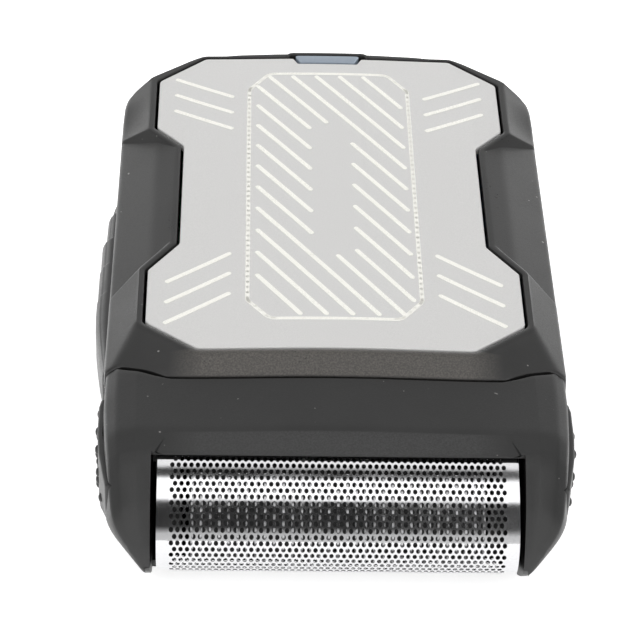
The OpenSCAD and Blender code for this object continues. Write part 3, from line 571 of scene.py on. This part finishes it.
REAR_PROFILE = [(0.25, 7.92), (0.08, 7.88), (0.02, 7.7), (0.12, 6.6), (0.3, 5.4), (0.5, 4.2), (0.75, 3.1),
                (1.1, 2.2), (1.6, 1.45), (2.4, 0.75), (3.3, 0.3), (4.4, 0.05), (5.2, 0.0)]
TAIL_PROFILE = [(0.5, 7.92), (0.36, 7.88), (0.3, 7.7), (0.5, 6.6), (0.8, 5.4), (1.15, 4.2), (1.7, 3.1),
                (2.3, 2.2), (3.0, 1.45), (3.8, 0.75), (4.7, 0.3), (5.6, 0.05), (6.4, 0.0)]
REAR_WALL = 1.8
SCREWS = [(25.4, -18.6), (19.6, 41.6)]


def rear_ring(u, p, n):
    """Points round the rear shell's section at the outline's point p, with n its outward normal."""
    tail = smoothstep((p[1] - 34) / 14)
    ring = []
    for (d0, z0), (d1, z1) in zip(REAR_PROFILE, TAIL_PROFILE):
        d = lerp(d0, d1, tail)
        ring.append((max(0, p[0] - n[0] * d) if u < 8 else 0, p[1] - n[1] * d, lerp(z0, z1, tail)))
    last = ring[-1]
    spine = (0, min(last[1], 38))
    ring += [(*mix(last[:2], spine, t), 0) for t in (0.25, 0.5, 0.75, 1)]
    bend = mix(last[:2], spine, 0.1)
    ring += [(*spine, REAR_WALL), (*mix(bend, spine, 0.5), REAR_WALL), (*bend, REAR_WALL)]
    inner = (max(0, p[0] - REAR_WALL * n[0]), p[1] - REAR_WALL * n[1])
    return ring + [(*inner, 6.5), (*inner, 7.92)]


def rear_housing():
    outline = [(30, -24.3), (30, 31), (29.9, 37), (29.6, 40.8), (28.6, 42.2), (24.8, 45.3), (19.8, 49.5),
               (10, 51.15), (0, 51.5)]
    rows = rounded(outline, [0, 9, 6, 1.2, 3, 8, 4, 16, 0], 0.6)
    out = chord_normals([p for u, p in rows], 6)
    rings = [rear_ring(u, p, n) for (u, p), n in zip(rows, out)]
    rings[-1] = on_centre(rings[-1])
    columns = len(rings[0])
    # No wall along the spine, where the two halves meet
    spine_column = len(REAR_PROFILE) + 3
    faces = [f for f in grid_faces(len(rings), columns) if f[0] % columns != spine_column]
    faces.append(tuple(range(columns)))
    for r in range(len(rings) - 1):
        a, b = r * columns, (r + 1) * columns
        faces.append((a, b, b + columns - 1, a + columns - 1))
    obj = build("rear_housing_shell", sum(rings, []), faces, mirror=True)
    for s in (-1, 1):
        for x, y in SCREWS:
            cut(obj, prism("screw_cut", circle(s * x, y, 2.1, 40), -1, 1.7))
    return place(obj, "body", "rear_black", MATERIALS["rear_black"], "rear_housing")


rear_housing()


# ---------- front panel, bars and lens ----------

def dome(obj):
    """Slices a flat piece along its length and lifts its top to the domed front."""
    bm = bmesh.new()
    bm.from_mesh(obj.data)
    for x in range(-CROWN_X, CROWN_X + 1):
        bmesh.ops.bisect_plane(bm, geom=bm.verts[:] + bm.edges[:] + bm.faces[:], dist=1e-7,
                               plane_co=(x * MM, 0, 0), plane_no=(1, 0, 0))
    for v in bm.verts:
        if v.co.z > (RECESS_Z + 0.3) * MM:
            v.co.z += crown(v.co.x / MM) * MM
    bm.to_mesh(obj.data)
    bm.free()
    finish_mesh(obj)
    return obj


def plate(name, outline, radii, bottom, top, bevel):
    """A flat plate with a rounded upper edge, from the right half of its outline."""
    half = [p for u, p in rounded(outline, radii, 0.5)]
    line = both(half)
    out = normals(line, closed=True)
    levels = [(0.0, bottom), (0.0, top - bevel)]
    for i in range(1, 6):
        a = math.pi / 2 * i / 5
        levels.append((bevel * (1 - math.cos(a)), top - bevel * (1 - math.sin(a))))
    verts = [(p[0] - d * m[0], p[1] - d * m[1], z) for d, z in levels for p, m in zip(line, out)]
    return dome(build(name, verts, closed_faces(len(levels), len(line))))


panel = plate("front_panel_plate", PANEL, PANEL_RADII, RECESS_Z, PANEL_TOP, 0.22)
place(panel, "body", "panel_silver", MATERIALS["panel_silver"], "front_panel")

HATCH_PITCH, HATCH_SLOPE, HATCH_MID = 5.32, -1.55, 3.9
FIELD_X, FIELD_Y = (-2.9, 3.2), (-2.4, 31.2)
HATCH_X, HATCH_Y = (-10.2, 10.4), (-15.6, 43.7)
BAR_W, BAR_H = 0.68, 0.08
FRAME_LINE_W, FRAME_LINE_H = 0.58, 0.05
FRAME_LINE = [(8.6, -16.6), (11.5, -12.5), (11.5, 40.2), (8.6, 44.6)]


def bar_mesh(bars):
    """Raised bars with round ends and a domed top, as one mesh. A bar is (start, end, width, height)."""
    verts, faces = [], []
    steps = 8
    for a, b, w, h in bars:
        a, b = Vector(a), Vector(b)
        d = (b - a).normalized()
        side = Vector((-d.y, d.x))
        base = len(verts)
        rim = []
        for centre, first in ((b, -90), (a, 90)):
            for i in range(steps + 1):
                t = math.radians(first + 180 * i / steps)
                rim.append((centre, d * math.cos(t) + side * math.sin(t)))
        n = len(rim)
        for r, z in ((1.0, -0.3), (1.0, h * 0.25), (0.94, h * 0.75), (0.8, h), (0.25, h)):
            for centre, v in rim:
                q = centre + v * (w / 2 * r)
                verts.append((q.x, q.y, PANEL_TOP + z))
        faces += grid_faces(5, n, wrap=True, start=base)
        faces.append(tuple(range(base + 4 * n, base + 5 * n)))
        faces.append(tuple(range(base, base + n)))
    return verts, faces


def hatch_bars():
    at_y = lambda k, x: HATCH_MID + HATCH_PITCH * k + HATCH_SLOPE * x
    at_x = lambda k, y: (y - HATCH_MID - HATCH_PITCH * k) / HATCH_SLOPE
    bars = []

    def clip(k, x0, x1):
        x0, x1 = max(x0, at_x(k, HATCH_Y[1])), min(x1, at_x(k, HATCH_Y[0]))
        if x1 - x0 > 1:
            bars.append(((x0, at_y(k, x0)), (x1, at_y(k, x1)), BAR_W, BAR_H))

    for k in range(-5, 10):
        enter = max(FIELD_X[0], at_x(k, FIELD_Y[1]))
        leave = min(FIELD_X[1], at_x(k, FIELD_Y[0]))
        if leave <= enter:
            clip(k, *HATCH_X)
        else:
            clip(k, HATCH_X[0], enter)
            clip(k, leave, HATCH_X[1])
    for s in (-1, 1):
        for k in range(3):
            bars.append(((s * 14, 38.3 - 4.3 * k), (s * 22, 42.9 - 4.3 * k), BAR_W, BAR_H))
            bars.append(((s * 14, -1.8 - 4.6 * k), (s * 22.1, -8.3 - 4.6 * k), BAR_W, BAR_H))
    corners = both(FRAME_LINE)
    line = [p for u, p in rounded(corners, [1.6] * len(corners), 1.2, closed=True)]
    for a, b in zip(line, line[1:] + line[:1]):
        bars.append((a, b, FRAME_LINE_W, FRAME_LINE_H))
    return bars


bars = dome(build("panel_bars", *bar_mesh(hatch_bars()), weld=0.0001, crease=60))
place(bars, "body", "panel_silver", BAR_MATERIAL, "front_panel")

LENS = [(0, 47.92), (4.0, 47.92), (4.85, 49.88), (0, 49.88)]
lens = plate("indicator_lens_window", LENS, [0, 0.25, 0.3, 0], 21.2, 23.74, 0.15)
place(lens, "body", "lens_smoke", MATERIALS["lens_smoke"], "indicator_lens")


# ---------- head cap ----------

CAP_PLAN = [(24.5, 30.0), (30, 29.95), (36, 29.6), (40, 29.15), (43.5, 28.8), (46, 28.4), (47.2, 27.6),
            (48.4, 26.0), (49, 24.4)]
CAP_TOP = [(24.5, 22.25), (27, 22.22), (37.2, 21.9), (40.9, 21.2), (42.5, 20.4), (46.3, 16.9), (48.5, 12.5),
           (49, 9.4)]
CAP_LOW = [(24.5, 0.3), (34, 0.6), (38.5, 1.5), (42.4, 2.9), (46, 5.7), (47.2, 7.0), (48.4, 7.9), (49, 9.2)]
CAP_SECTION = [(23.2, 22.25), (25.4, 22.15), (28, 21.6), (29.5, 20.4), (30, 14), (30, 9), (29.5, 5.5),
               (28.7, 3), (27.3, 1.2), (25, 0.3), (23.2, 0.3)]
CAP_RADII = [0, 1.6, 1.8, 1.2, 10, 12, 5, 4, 3, 3, 0]
SECTION_LOW, MIDDLE_Z, SECTION_TOP = 0.3, 12, 22.25
CAP_START, CAP_STRAIGHT, LIP_END = 24.5, 28.5, 40.9
BAY_X, BAY_LOW, BAY_TOP = 23.2, 3.4, 20.6
CHAMFER_START, CHAMFER_X, CHAMFER_COLUMN = 37.6, (21.0, 22.6), 21.7
# Heights of the facets over and under the bay, where they start and at the lips
FACET_TOP, FACET_LOW = (21.88, 20.85), (2.2, 3.15)


def curve(table, u, w):
    return soft(table, u, w, 7)


def seam_y(x, z):
    """How far forward the cap starts: the housing's lip reaches over it on top."""
    if z < 20.7:
        return CAP_START
    return along([(0, 27.38), (21.9, 27.38), (24.6, 26.12), (27.5, 24.95), (28.2, 24.5), (30, 24.5)], abs(x))


def bevel_x(d, z):
    """How wide a cheek may be: a slanting plane takes its lower outer corner away."""
    return 28.57 - 0.571 * (d - 41.66) + 0.604 * (z - 9)


def cap_surface(x, z, d):
    """Moves a point of the full section to the section at distance d in front of the origin."""
    plan = curve(CAP_PLAN, d, 0.8) if d < 48.2 else along(CAP_PLAN, d)
    top = curve(CAP_TOP, d, 0.5) if d < 48.4 else along(CAP_TOP, d)
    low = curve(CAP_LOW, d, 0.5) if d < 48.4 else along(CAP_LOW, d)
    q = max(0, x - 24) / 6
    fall = 1.5 * smoothstep((d - 38) / 8) * q * q
    if x > BAY_X:
        x = BAY_X + (x - BAY_X) * (plan - BAY_X) / (30 - BAY_X)
    z = low + (z - SECTION_LOW) * (top - fall - low) / (SECTION_TOP - SECTION_LOW)
    if x > BAY_X + 0.01:
        x = max(BAY_X + 0.01, smin(x, bevel_x(d, z), 1.4))
    if x < BAY_X:
        # The facet over the bay ends in a slanting wall, between two columns of points
        f = max(0, (d - CHAMFER_START) / (LIP_END - CHAMFER_START))
        wall, inside = lerp(*CHAMFER_X, f), x <= CHAMFER_COLUMN
        if inside:
            x *= wall / CHAMFER_COLUMN
        else:
            x = BAY_X - (BAY_X - x) * (BAY_X - wall - 0.12) / (BAY_X - CHAMFER_COLUMN - 0.1)
        if f > 0 and inside:
            z = min(z, lerp(*FACET_TOP, f)) if z > MIDDLE_Z else max(z, lerp(*FACET_LOW, f))
    if z > MIDDLE_Z:
        z += crown(x) * (1 - smoothstep((d - 37) / 6)) * min(1, (z - MIDDLE_Z) / 8)
    return x, z


LEAN_START, LEAN_Z = -33, 13.5


def lean_share(z):
    """How much of its distance past LEAN_START a point at height z gives up."""
    return 6 * (max(0, LEAN_Z - z) / 7) ** 1.2 / 10.2


def lean(y, z):
    """The front end of the pads and their pockets slants back, towards the rear face."""
    return y + max(0, LEAN_START - y) * lean_share(z)


def unlean(y, z):
    k = lean_share(z)
    return (y - LEAN_START * k) / (1 - k) if y < LEAN_START else y


POCKET_LEVELS = [6.3 + 0.95 * i for i in range(13)]


def from_seam(d, start):
    """Spreads the first rows between the seam, at start, and the straight part of the cap."""
    if d >= CAP_STRAIGHT:
        return d
    return start + (CAP_STRAIGHT - start) * (d - CAP_START) / (CAP_STRAIGHT - CAP_START)


def cap_sleeve(section, bay):
    """The cap as far as its lips, round the bay for the foil, with its two end faces."""
    flat = [0, 3, 6, 9, 12, 15, 18, 20, 21, CHAMFER_COLUMN, CHAMFER_COLUMN + 0.1, 22.2, 22.7]
    full = [(x, SECTION_TOP) for x in flat] + section + [(x, SECTION_LOW) for x in reversed(flat)]
    wide = flat + [BAY_X]
    inner = [(x, BAY_LOW) for x in wide] + [(BAY_X, z) for z in bay[1:-1]]
    inner += [(x, BAY_TOP) for x in reversed(wide)]
    steps = [CAP_START, 25, 25.6, 26.3, 27.1, 27.7, CAP_STRAIGHT] + [29.5 + 0.6 * i for i in range(13)]
    steps += [37.2, CHAMFER_START, 38, 38.6, 39.2, 39.8, 40.4, 40.7, LIP_END]
    verts = []
    for d in steps:
        # A small round at the seam
        sink = 0.05 if d == CAP_START else 0
        for x, z in full:
            row = from_seam(d, seam_y(x, z))
            px, pz = cap_surface(x, z, row)
            verts.append((px, -row, pz - sink if z > MIDDLE_Z else pz + sink))
        for x, z in inner:
            start = seam_y(x, SECTION_TOP) if z == BAY_TOP else CAP_START
            verts.append((x, -from_seam(d, start), z))
    n = len(full) + len(inner)
    seams = ({0, n - 1}, {len(full) - 1, len(full)})
    faces = [f for f in grid_faces(len(steps), n, wrap=True) if {f[0] % n, f[1] % n} not in seams]
    a, w = len(full), len(wide)
    hi = a - w
    for o in (0, (len(steps) - 1) * n):
        # The end faces, between the outer skin and the bay
        for i in range(w - 1):
            faces.append((o + i, o + i + 1, o + n - 2 - i, o + n - 1 - i))
            faces.append((o + hi + i, o + hi + i + 1, o + a + w - 2 - i, o + a + w - 1 - i))
    faces.append((*range(w - 1, hi + 1), *range(a + w - 1, n - w + 1)))
    return verts, faces


def cap_cheeks(section, bay, base):
    """The right cheek, which goes on past the lips. base is the number of points before it."""
    steps = [LIP_END] + [41.3 + 0.4 * i for i in range(17)] + [48.0, 48.3, 48.55, 48.75, 48.9, 49.0]
    ends = (SECTION_LOW, SECTION_TOP)
    first = [cap_surface(BAY_X, z, LIP_END)[1] for z in ends]
    verts = []
    for d in steps:
        verts += [(x, -d, z) for x, z in (cap_surface(x, z, d) for x, z in section)]
        wall = [cap_surface(BAY_X, z, d)[1] for z in ends]
        verts += [(BAY_X, -d, lerp(*wall, (z - first[0]) / (first[1] - first[0]))) for z in bay]
    n = len(section) + len(bay)
    faces = grid_faces(len(steps), n, wrap=True, start=base)
    faces.append(tuple(base + (len(steps) - 1) * n + i for i in range(n)))
    return verts, faces


def pad_pocket(s):
    """What is cut away for a release button, on side s."""
    line = [(27.9, -25.4), (33, -25.4), (33, -43.45), (26.4, -43.45), (27.2, -37.9), (27.9, -33.3)]
    line = [p for u, p in rounded(line, [0] * 6, 1.5, closed=True)]
    verts = [(s * x, lean(y, z), z) for z in POCKET_LEVELS for x, y in line]
    return build("pad_cut", verts, closed_faces(len(POCKET_LEVELS), len(line)))


def head_cap():
    section = [p for u, p in rounded(CAP_SECTION, CAP_RADII, 0.45)]
    bay = [BAY_LOW + (BAY_TOP - BAY_LOW) * i / 6 for i in range(7)]
    verts, faces = cap_sleeve(section, bay)
    cheek_verts, cheek_faces = cap_cheeks(section, bay, len(verts))
    obj = build("head_cap_shell", verts + cheek_verts, faces + cheek_faces, mirror=True, crease=32)
    cut(obj, pad_pocket(-1))
    cut(obj, pad_pocket(1))
    # A crisp edge where the facet over the bay starts
    for e in obj.data.edges:
        ends = [obj.data.vertices[i].co / MM for i in e.vertices]
        if all(abs(v.y + CHAMFER_START) < 0.02 and abs(v.x) < BAY_X for v in ends):
            e.use_edge_sharp = True
    return place(obj, "head", "head_black", MATERIALS["head_black"], "head_cap")


head_cap()


# ---------- foil ----------

NOSE_R, NOSE_A, FLANK_R, FLANK_A, ROOT_R = 5.6, 55, 30.3, 70, 1.5
FOIL_Y, AXIS_Z, FOIL_ROOT_Y = -49.8, 12.0, -37.6
FOIL_HALF = 22.4
ARCS = [(NOSE_R, 0, NOSE_A), (FLANK_R, NOSE_A, FLANK_A), (ROOT_R, FLANK_A, 90)]


def foil_point(s, inset):
    """Point (y, z) of the foil's section at arc length s from the nose, inset under its surface."""
    left, y, up = abs(s), 0.0, 0.0
    for r, a0, a1 in ARCS:
        a0, a1 = math.radians(a0), math.radians(a1)
        length = r * (a1 - a0)
        a = a0 + min(left, length) / r
        y += r * (math.cos(a0) - math.cos(a))
        up += r * (math.sin(a) - math.sin(a0))
        left -= length
        if left <= 0:
            break
    y += max(left, 0)
    y += inset * math.cos(a)
    up -= inset * math.sin(a)
    return FOIL_Y + y, AXIS_Z + math.copysign(up, s) if s else AXIS_Z


ROOT_S = sum(r * math.radians(a1 - a0) for r, a0, a1 in ARCS)
HOLE_PITCH, HOLE_ROW = 0.79, 0.85
HOLED_S, HOLED_X = 12.8, 20.6


def foil_sheet(total):
    """The sheet laid flat, x across and s along the arc, as hexagon cells. Those in the middle
    field have a hole, and those at the sheet's edges are cut off straight."""
    verts, faces = [], []
    sides = 12
    w, h1, h2 = HOLE_PITCH / 2, HOLE_ROW * 0.36, HOLE_ROW * 0.64
    cell = [(w, h1), (0, h2), (-w, h1), (-w, -h1), (0, -h2), (w, -h1)]
    rows, cols = int(total / HOLE_ROW) + 1, int(FOIL_HALF / HOLE_PITCH) + 2
    for r in range(-rows, rows + 1):
        for c in range(-cols, cols + 1):
            cx, cs = (c + 0.5 * (r % 2)) * HOLE_PITCH, r * HOLE_ROW
            base = len(verts)
            # The cell's own outline, a point for each point of the hole
            for i in range(sides):
                t = i / 2 + 5.5
                p = mix(cell[int(t) % 6], cell[(int(t) + 1) % 6], t % 1)
                x, s = cx + p[0], cs + p[1]
                verts.append((min(max(x, -FOIL_HALF), FOIL_HALF), min(max(s, -total), total)))
            if abs(cx) > HOLED_X or abs(cs) > HOLED_S:
                faces.append(tuple(range(base, base + sides)))
                continue
            for i in range(sides):
                a = 2 * math.pi * i / sides
                verts.append((cx + 0.28 * math.cos(a), cs + 0.35 * math.sin(a)))
            for i in range(sides):
                j = (i + 1) % sides
                faces.append((base + i, base + j, base + sides + j, base + sides + i))
    return verts, faces


def foil():
    flat, faces = foil_sheet(ROOT_S + FOIL_ROOT_Y - foil_point(ROOT_S, 0)[0])
    obj = build("foil_sheet", [(x, s, 0) for x, s in flat], faces, weld=0.02, crease=50, facing=(0, 0, 1))
    bm = bmesh.new()
    bm.from_mesh(obj.data)
    # The sheet keeps its shallow curve right up to the bend at each root
    bend = ROOT_S - ROOT_R * math.radians(90 - FLANK_A)
    for s in (-bend, -bend + 0.1, bend - 0.1, bend):
        bmesh.ops.bisect_plane(bm, geom=bm.verts[:] + bm.edges[:] + bm.faces[:], dist=1e-7,
                               plane_co=(0, s * MM, 0), plane_no=(0, 1, 0))
    for v in bm.verts:
        y, z = foil_point(v.co.y / MM, 0.03)
        v.co = (v.co.x, y * MM, z * MM)
    bm.to_mesh(obj.data)
    bm.free()
    finish_mesh(obj, 50)
    modify(obj, "SOLIDIFY", thickness=0.09 * MM, offset=-1.0, crease=50)
    return place(obj, "foil", "foil_chrome", MATERIALS["foil_chrome"], "foil")


foil()


# ---------- release buttons and power slider ----------

PAD = [(29.3, -25.6), (30.1, -25.6), (30.35, -27.2), (30.3, -32.5), (30, -36.5), (29.35, -40.5),
       (28.85, -43.2), (27.8, -43.2), (28.6, -37.6), (29.3, -33)]
PAD_RADII = [0.1, 0.4, 1.0, 8, 9, 5, 0.4, 0.2, 6, 6]
PAD_Z, STEM_Z = (6.5, 17.5), (14, 17)
SPRING_SHARE = 0.88
STUD_PITCH = 3.62
# Rows of studs: height, first stud, number of studs
STUD_ROWS = [(15.6, -26.5, 3), (13.2, -28, 3), (10.8, -26.5, 4), (8.4, -28, 2)]


def pad_face(y):
    """Where a pad's outer face is, across the head."""
    return along([(-p[1], p[0]) for p in PAD[1:7]], -y)


def rounded_solid(name, line, z0, z1, edge, slant=None, middle=2):
    """An outline drawn out along Z with round edges at both ends; slant moves y by height."""
    out = normals(line, closed=True)
    levels = []
    for i in range(6):
        a = math.pi / 2 * i / 5
        levels.append((edge * (1 - math.sin(a)), z0 + edge * (1 - math.cos(a))))
    levels += [(0, lerp(z0 + edge, z1 - edge, (i + 1) / (middle + 1))) for i in range(middle)]
    levels += [(d, z0 + z1 - z) for d, z in reversed(levels[:6])]
    verts = [(p[0] - d * m[0], p[1] - d * m[1], z) for d, z in levels for p, m in zip(line, out)]
    if slant:
        verts = [(x, slant(y, z), z) for x, y, z in verts]
    return build(name, verts, closed_faces(len(levels), len(line)))


def domes(spots, r, h, sign):
    """Low round studs on the pads, standing along X."""
    verts, faces = [], []
    n = 20
    for x, y, z in spots:
        base = len(verts)
        levels = [(1.0, -0.3), (1.0, 0.0)] + [(math.cos(a), math.sin(a)) for a in (0.35, 0.7, 1.05, 1.35)]
        for f, up in levels:
            for i in range(n):
                a = 2 * math.pi * i / n
                verts.append((sign * (x + h * up), y + r * f * math.cos(a), z + r * f * math.sin(a)))
        faces += grid_faces(len(levels), n, wrap=True, start=base)
        faces.append(tuple(base + (len(levels) - 1) * n + i for i in range(n)))
    return verts, faces


def join(name, *objs):
    bm = bmesh.new()
    for o in objs:
        bm.from_mesh(o.data)
        bpy.data.objects.remove(o)
    mesh = bpy.data.meshes.new(name)
    bm.to_mesh(mesh)
    bm.free()
    obj = bpy.data.objects.new(name, mesh)
    bpy.context.collection.objects.link(obj)
    finish_mesh(obj)
    return obj


def release_button(sign, side):
    line = [(sign * p[0], p[1]) for u, p in rounded(PAD, PAD_RADII, 0.5, closed=True)]
    if sign > 0:
        line.reverse()
    pad = rounded_solid("pad_part", line, *PAD_Z, 0.35, slant=lean, middle=9)
    spots = [(pad_face(unlean(y, z)), y, z) for z, first, count in STUD_ROWS
             for y in [first - STUD_PITCH * i for i in range(count)]]
    studs = build("stud_part", *domes(spots, 0.62, 0.38, sign))
    stem_line = [(21.3, -34), (29.4, -34), (29.4, -32), (21.3, -32)]
    arm_line = [(19.9, -34), (21.3, -34), (21.3, -29.6), (22.7, -29.6), (22.7, -27.6), (19.9, -27.6)]
    stem = prism("stem_part", [(sign * x, y) for x, y in stem_line], *STEM_Z)
    arm = prism("arm_part", [(sign * x, y) for x, y in arm_line], *STEM_Z)
    obj = join("release_button_" + side + "_pad", pad, studs, stem, arm)
    return place(obj, "button_" + side, "button_black", MATERIALS["button_black"], "release_button_" + side)


def release_spring(sign, side):
    """A shorter copy of the CAD's spring, so it stays out of sight behind the pressed pad."""
    source = frame["nodes"]["release_spring_" + side]
    mesh = source.data.copy()
    mesh.transform(source.matrix_world)
    foot = min(abs(v.co.x) for v in mesh.vertices)
    for v in mesh.vertices:
        v.co.x = sign * (foot + (abs(v.co.x) - foot) * SPRING_SHARE)
    obj = bpy.data.objects.new("release_coil_" + side, mesh)
    bpy.context.collection.objects.link(obj)
    finish_mesh(obj, 50)
    return place(obj, "head", "spring_steel", MATERIALS["spring_steel"], "release_spring_" + side)


for sign, side in ((-1, "left"), (1, "right")):
    release_button(sign, side)
    release_spring(sign, side)

KNOB = [(20, 0.1), (18, 0.6), (16.6, 0.7), (16.3, 1.15), (10.4, 1.2), (10.1, 1.7), (4.4, 1.67), (4.1, 1.8),
        (-2.4, 1.75), (-2.7, 1.85), (-5.5, 1.85), (-9, 1.7), (-12.5, 1.35), (-16, 0.9), (-19.4, 0.3)]
# How much of its height the knob keeps towards its two long edges
KNOB_SECTION = [(10.0, 0.5), (10.15, 0.66), (10.5, 0.86), (11.0, 0.97), (11.6, 1.0), (15.6, 1.0),
                (16.0, 0.985), (16.4, 0.95), (16.8, 0.89), (17.1, 0.82), (17.3, 0.78), (17.36, 0.73),
                (17.6, 0.66), (17.8, 0.58), (17.93, 0.5), (18.0, 0.42)]
KNOB_BASE = -29.2


def power_slider():
    outline = [(KNOB_BASE, 20)] + [(-30 - p, y) for y, p in KNOB] + [(KNOB_BASE, -19.6)]
    radii = [0, 0.05, 1.5, 0.3, 0.12, 0.12, 0.12, 0.12, 0.12, 0.1, 0.12, 2, 8, 8, 8, 0.05, 0]
    line = [p for u, p in rounded(outline, radii, 0.35, closed=True)]
    verts = [(KNOB_BASE + (x - KNOB_BASE) * k, y, z) for z, k in KNOB_SECTION for x, y in line]
    knob = build("knob_part", verts, closed_faces(len(KNOB_SECTION), len(line)), crease=30)
    tongue = prism("tongue_part", [(-29.7, 13), (-27.5, 13), (-27.5, 17.2), (-29.7, 17.2)], 12.6, 15.2)
    slot = prism("lever_cut", [(-28.4, 14.3), (-27, 14.3), (-27, 15.9), (-28.4, 15.9)], 10, 20)
    cut(tongue, slot)
    obj = join("power_slider_knob", knob, tongue)
    return place(obj, "slider", "slider_black", MATERIALS["slider_black"], "power_slider")


power_slider()


# ---------- floor, light and camera ----------

def floor():
    size = 900
    spans = [-size, -300, -100, 100, 300, size]
    verts = [(x, y, -0.02) for y in spans for x in spans]
    obj = build("studio_floor", verts, grid_faces(6, 6), facing=(0, 0, 1))
    m, t, b = nodes_of("studio_white")
    xyz = add(t, "ShaderNodeTexCoord").outputs["Object"]
    field = noise(t, xyz, 0.02, 2)
    t.links.new(blend_colour(t, field, (0.90, 0.90, 0.90), (0.92, 0.92, 0.92)), b.inputs["Base Color"])
    b.inputs["Roughness"].default_value = 0.9
    b.inputs["Specular IOR Level"].default_value = 0.1
    b.inputs["Emission Color"].default_value = (1, 1, 1, 1)
    b.inputs["Emission Strength"].default_value = 0.68
    obj.data.materials.append(m)


floor()

# Light by the angle round the X axis: 0 is the horizon behind the tail, 90 overhead
SKY = [(0, 2.7), (7, 2.4), (14, 1.1), (22, 0.78), (34, 0.8), (45, 0.8), (70, 0.75), (76, 1.3), (85, 1.3),
       (86, 0.05), (90.6, 0.05), (91.6, 2.0), (102.2, 2.0), (103.4, 0.04), (143, 0.05), (150, 0.25),
       (161, 0.75), (180, 0.85)]


def world():
    w = bpy.data.worlds.new("studio")
    bpy.context.scene.world = w
    w.use_nodes = True
    t = w.node_tree
    t.nodes.clear()
    ray = add(t, "ShaderNodeTexCoord").outputs["Generated"]
    parts = add(t, "ShaderNodeSeparateXYZ", {"Vector": ray})
    angle = add(t, "ShaderNodeMath", {0: parts.outputs["Z"], 1: parts.outputs["Y"]}, operation="ARCTAN2")
    turn = remap(t, angle.outputs[0], 0, math.pi, 0, 1)
    ramp = add(t, "ShaderNodeValToRGB", {"Fac": turn})
    stops = ramp.color_ramp.elements
    while len(stops) > 1:
        stops.remove(stops[-1])
    for i, (a, v) in enumerate(SKY):
        stop = stops[0] if i == 0 else stops.new(a / 180)
        stop.position = a / 180
        stop.color = (v, v, v, 1)
    side = add(t, "ShaderNodeMath", {0: parts.outputs["X"]}, operation="ABSOLUTE").outputs[0]
    # The bands over the front are narrow screens; past their ends there is plain soft light
    front = remap(t, turn, 0.54, 0.6, 0, 1)
    ends = remap(t, side, 0.1, 0.25, 0, 1)
    past = add(t, "ShaderNodeMath", {0: ends, 1: front}, operation="MULTIPLY").outputs[0]
    lit = blend_colour(t, past, ramp.outputs["Color"], (2.0, 2.0, 2.0))
    lit = blend_colour(t, remap(t, side, 0.53, 0.63, 0, 1), lit, (0.65, 0.65, 0.65))
    back = add(t, "ShaderNodeBackground", {"Color": lit, "Strength": 1.0})
    end = add(t, "ShaderNodeOutputWorld")
    t.links.new(back.outputs[0], end.inputs["Surface"])


world()


def camera():
    spot = Vector((-11.8, -318.0, 243.0)) * MM
    down, yaw, roll = math.radians(36.01), math.radians(1.86), math.radians(1.76)
    fwd = Vector((math.sin(yaw) * math.cos(down), math.cos(yaw) * math.cos(down), -math.sin(down)))
    right = Vector((math.cos(yaw), -math.sin(yaw), 0))
    up = right.cross(fwd)
    r = right * math.cos(roll) + up * math.sin(roll)
    u = up * math.cos(roll) - right * math.sin(roll)
    data = bpy.data.cameras.new("camera")
    data.sensor_width = 36
    data.lens = 161.2
    data.clip_start = 0.01
    data.clip_end = 10
    cam = bpy.data.objects.new("camera", data)
    cam.matrix_world = Matrix.Translation(spot) @ Matrix((r, u, -fwd)).transposed().to_4x4()
    bpy.context.collection.objects.link(cam)
    bpy.context.scene.camera = cam


camera()
bpy.context.scene.view_settings.view_transform = "Standard"
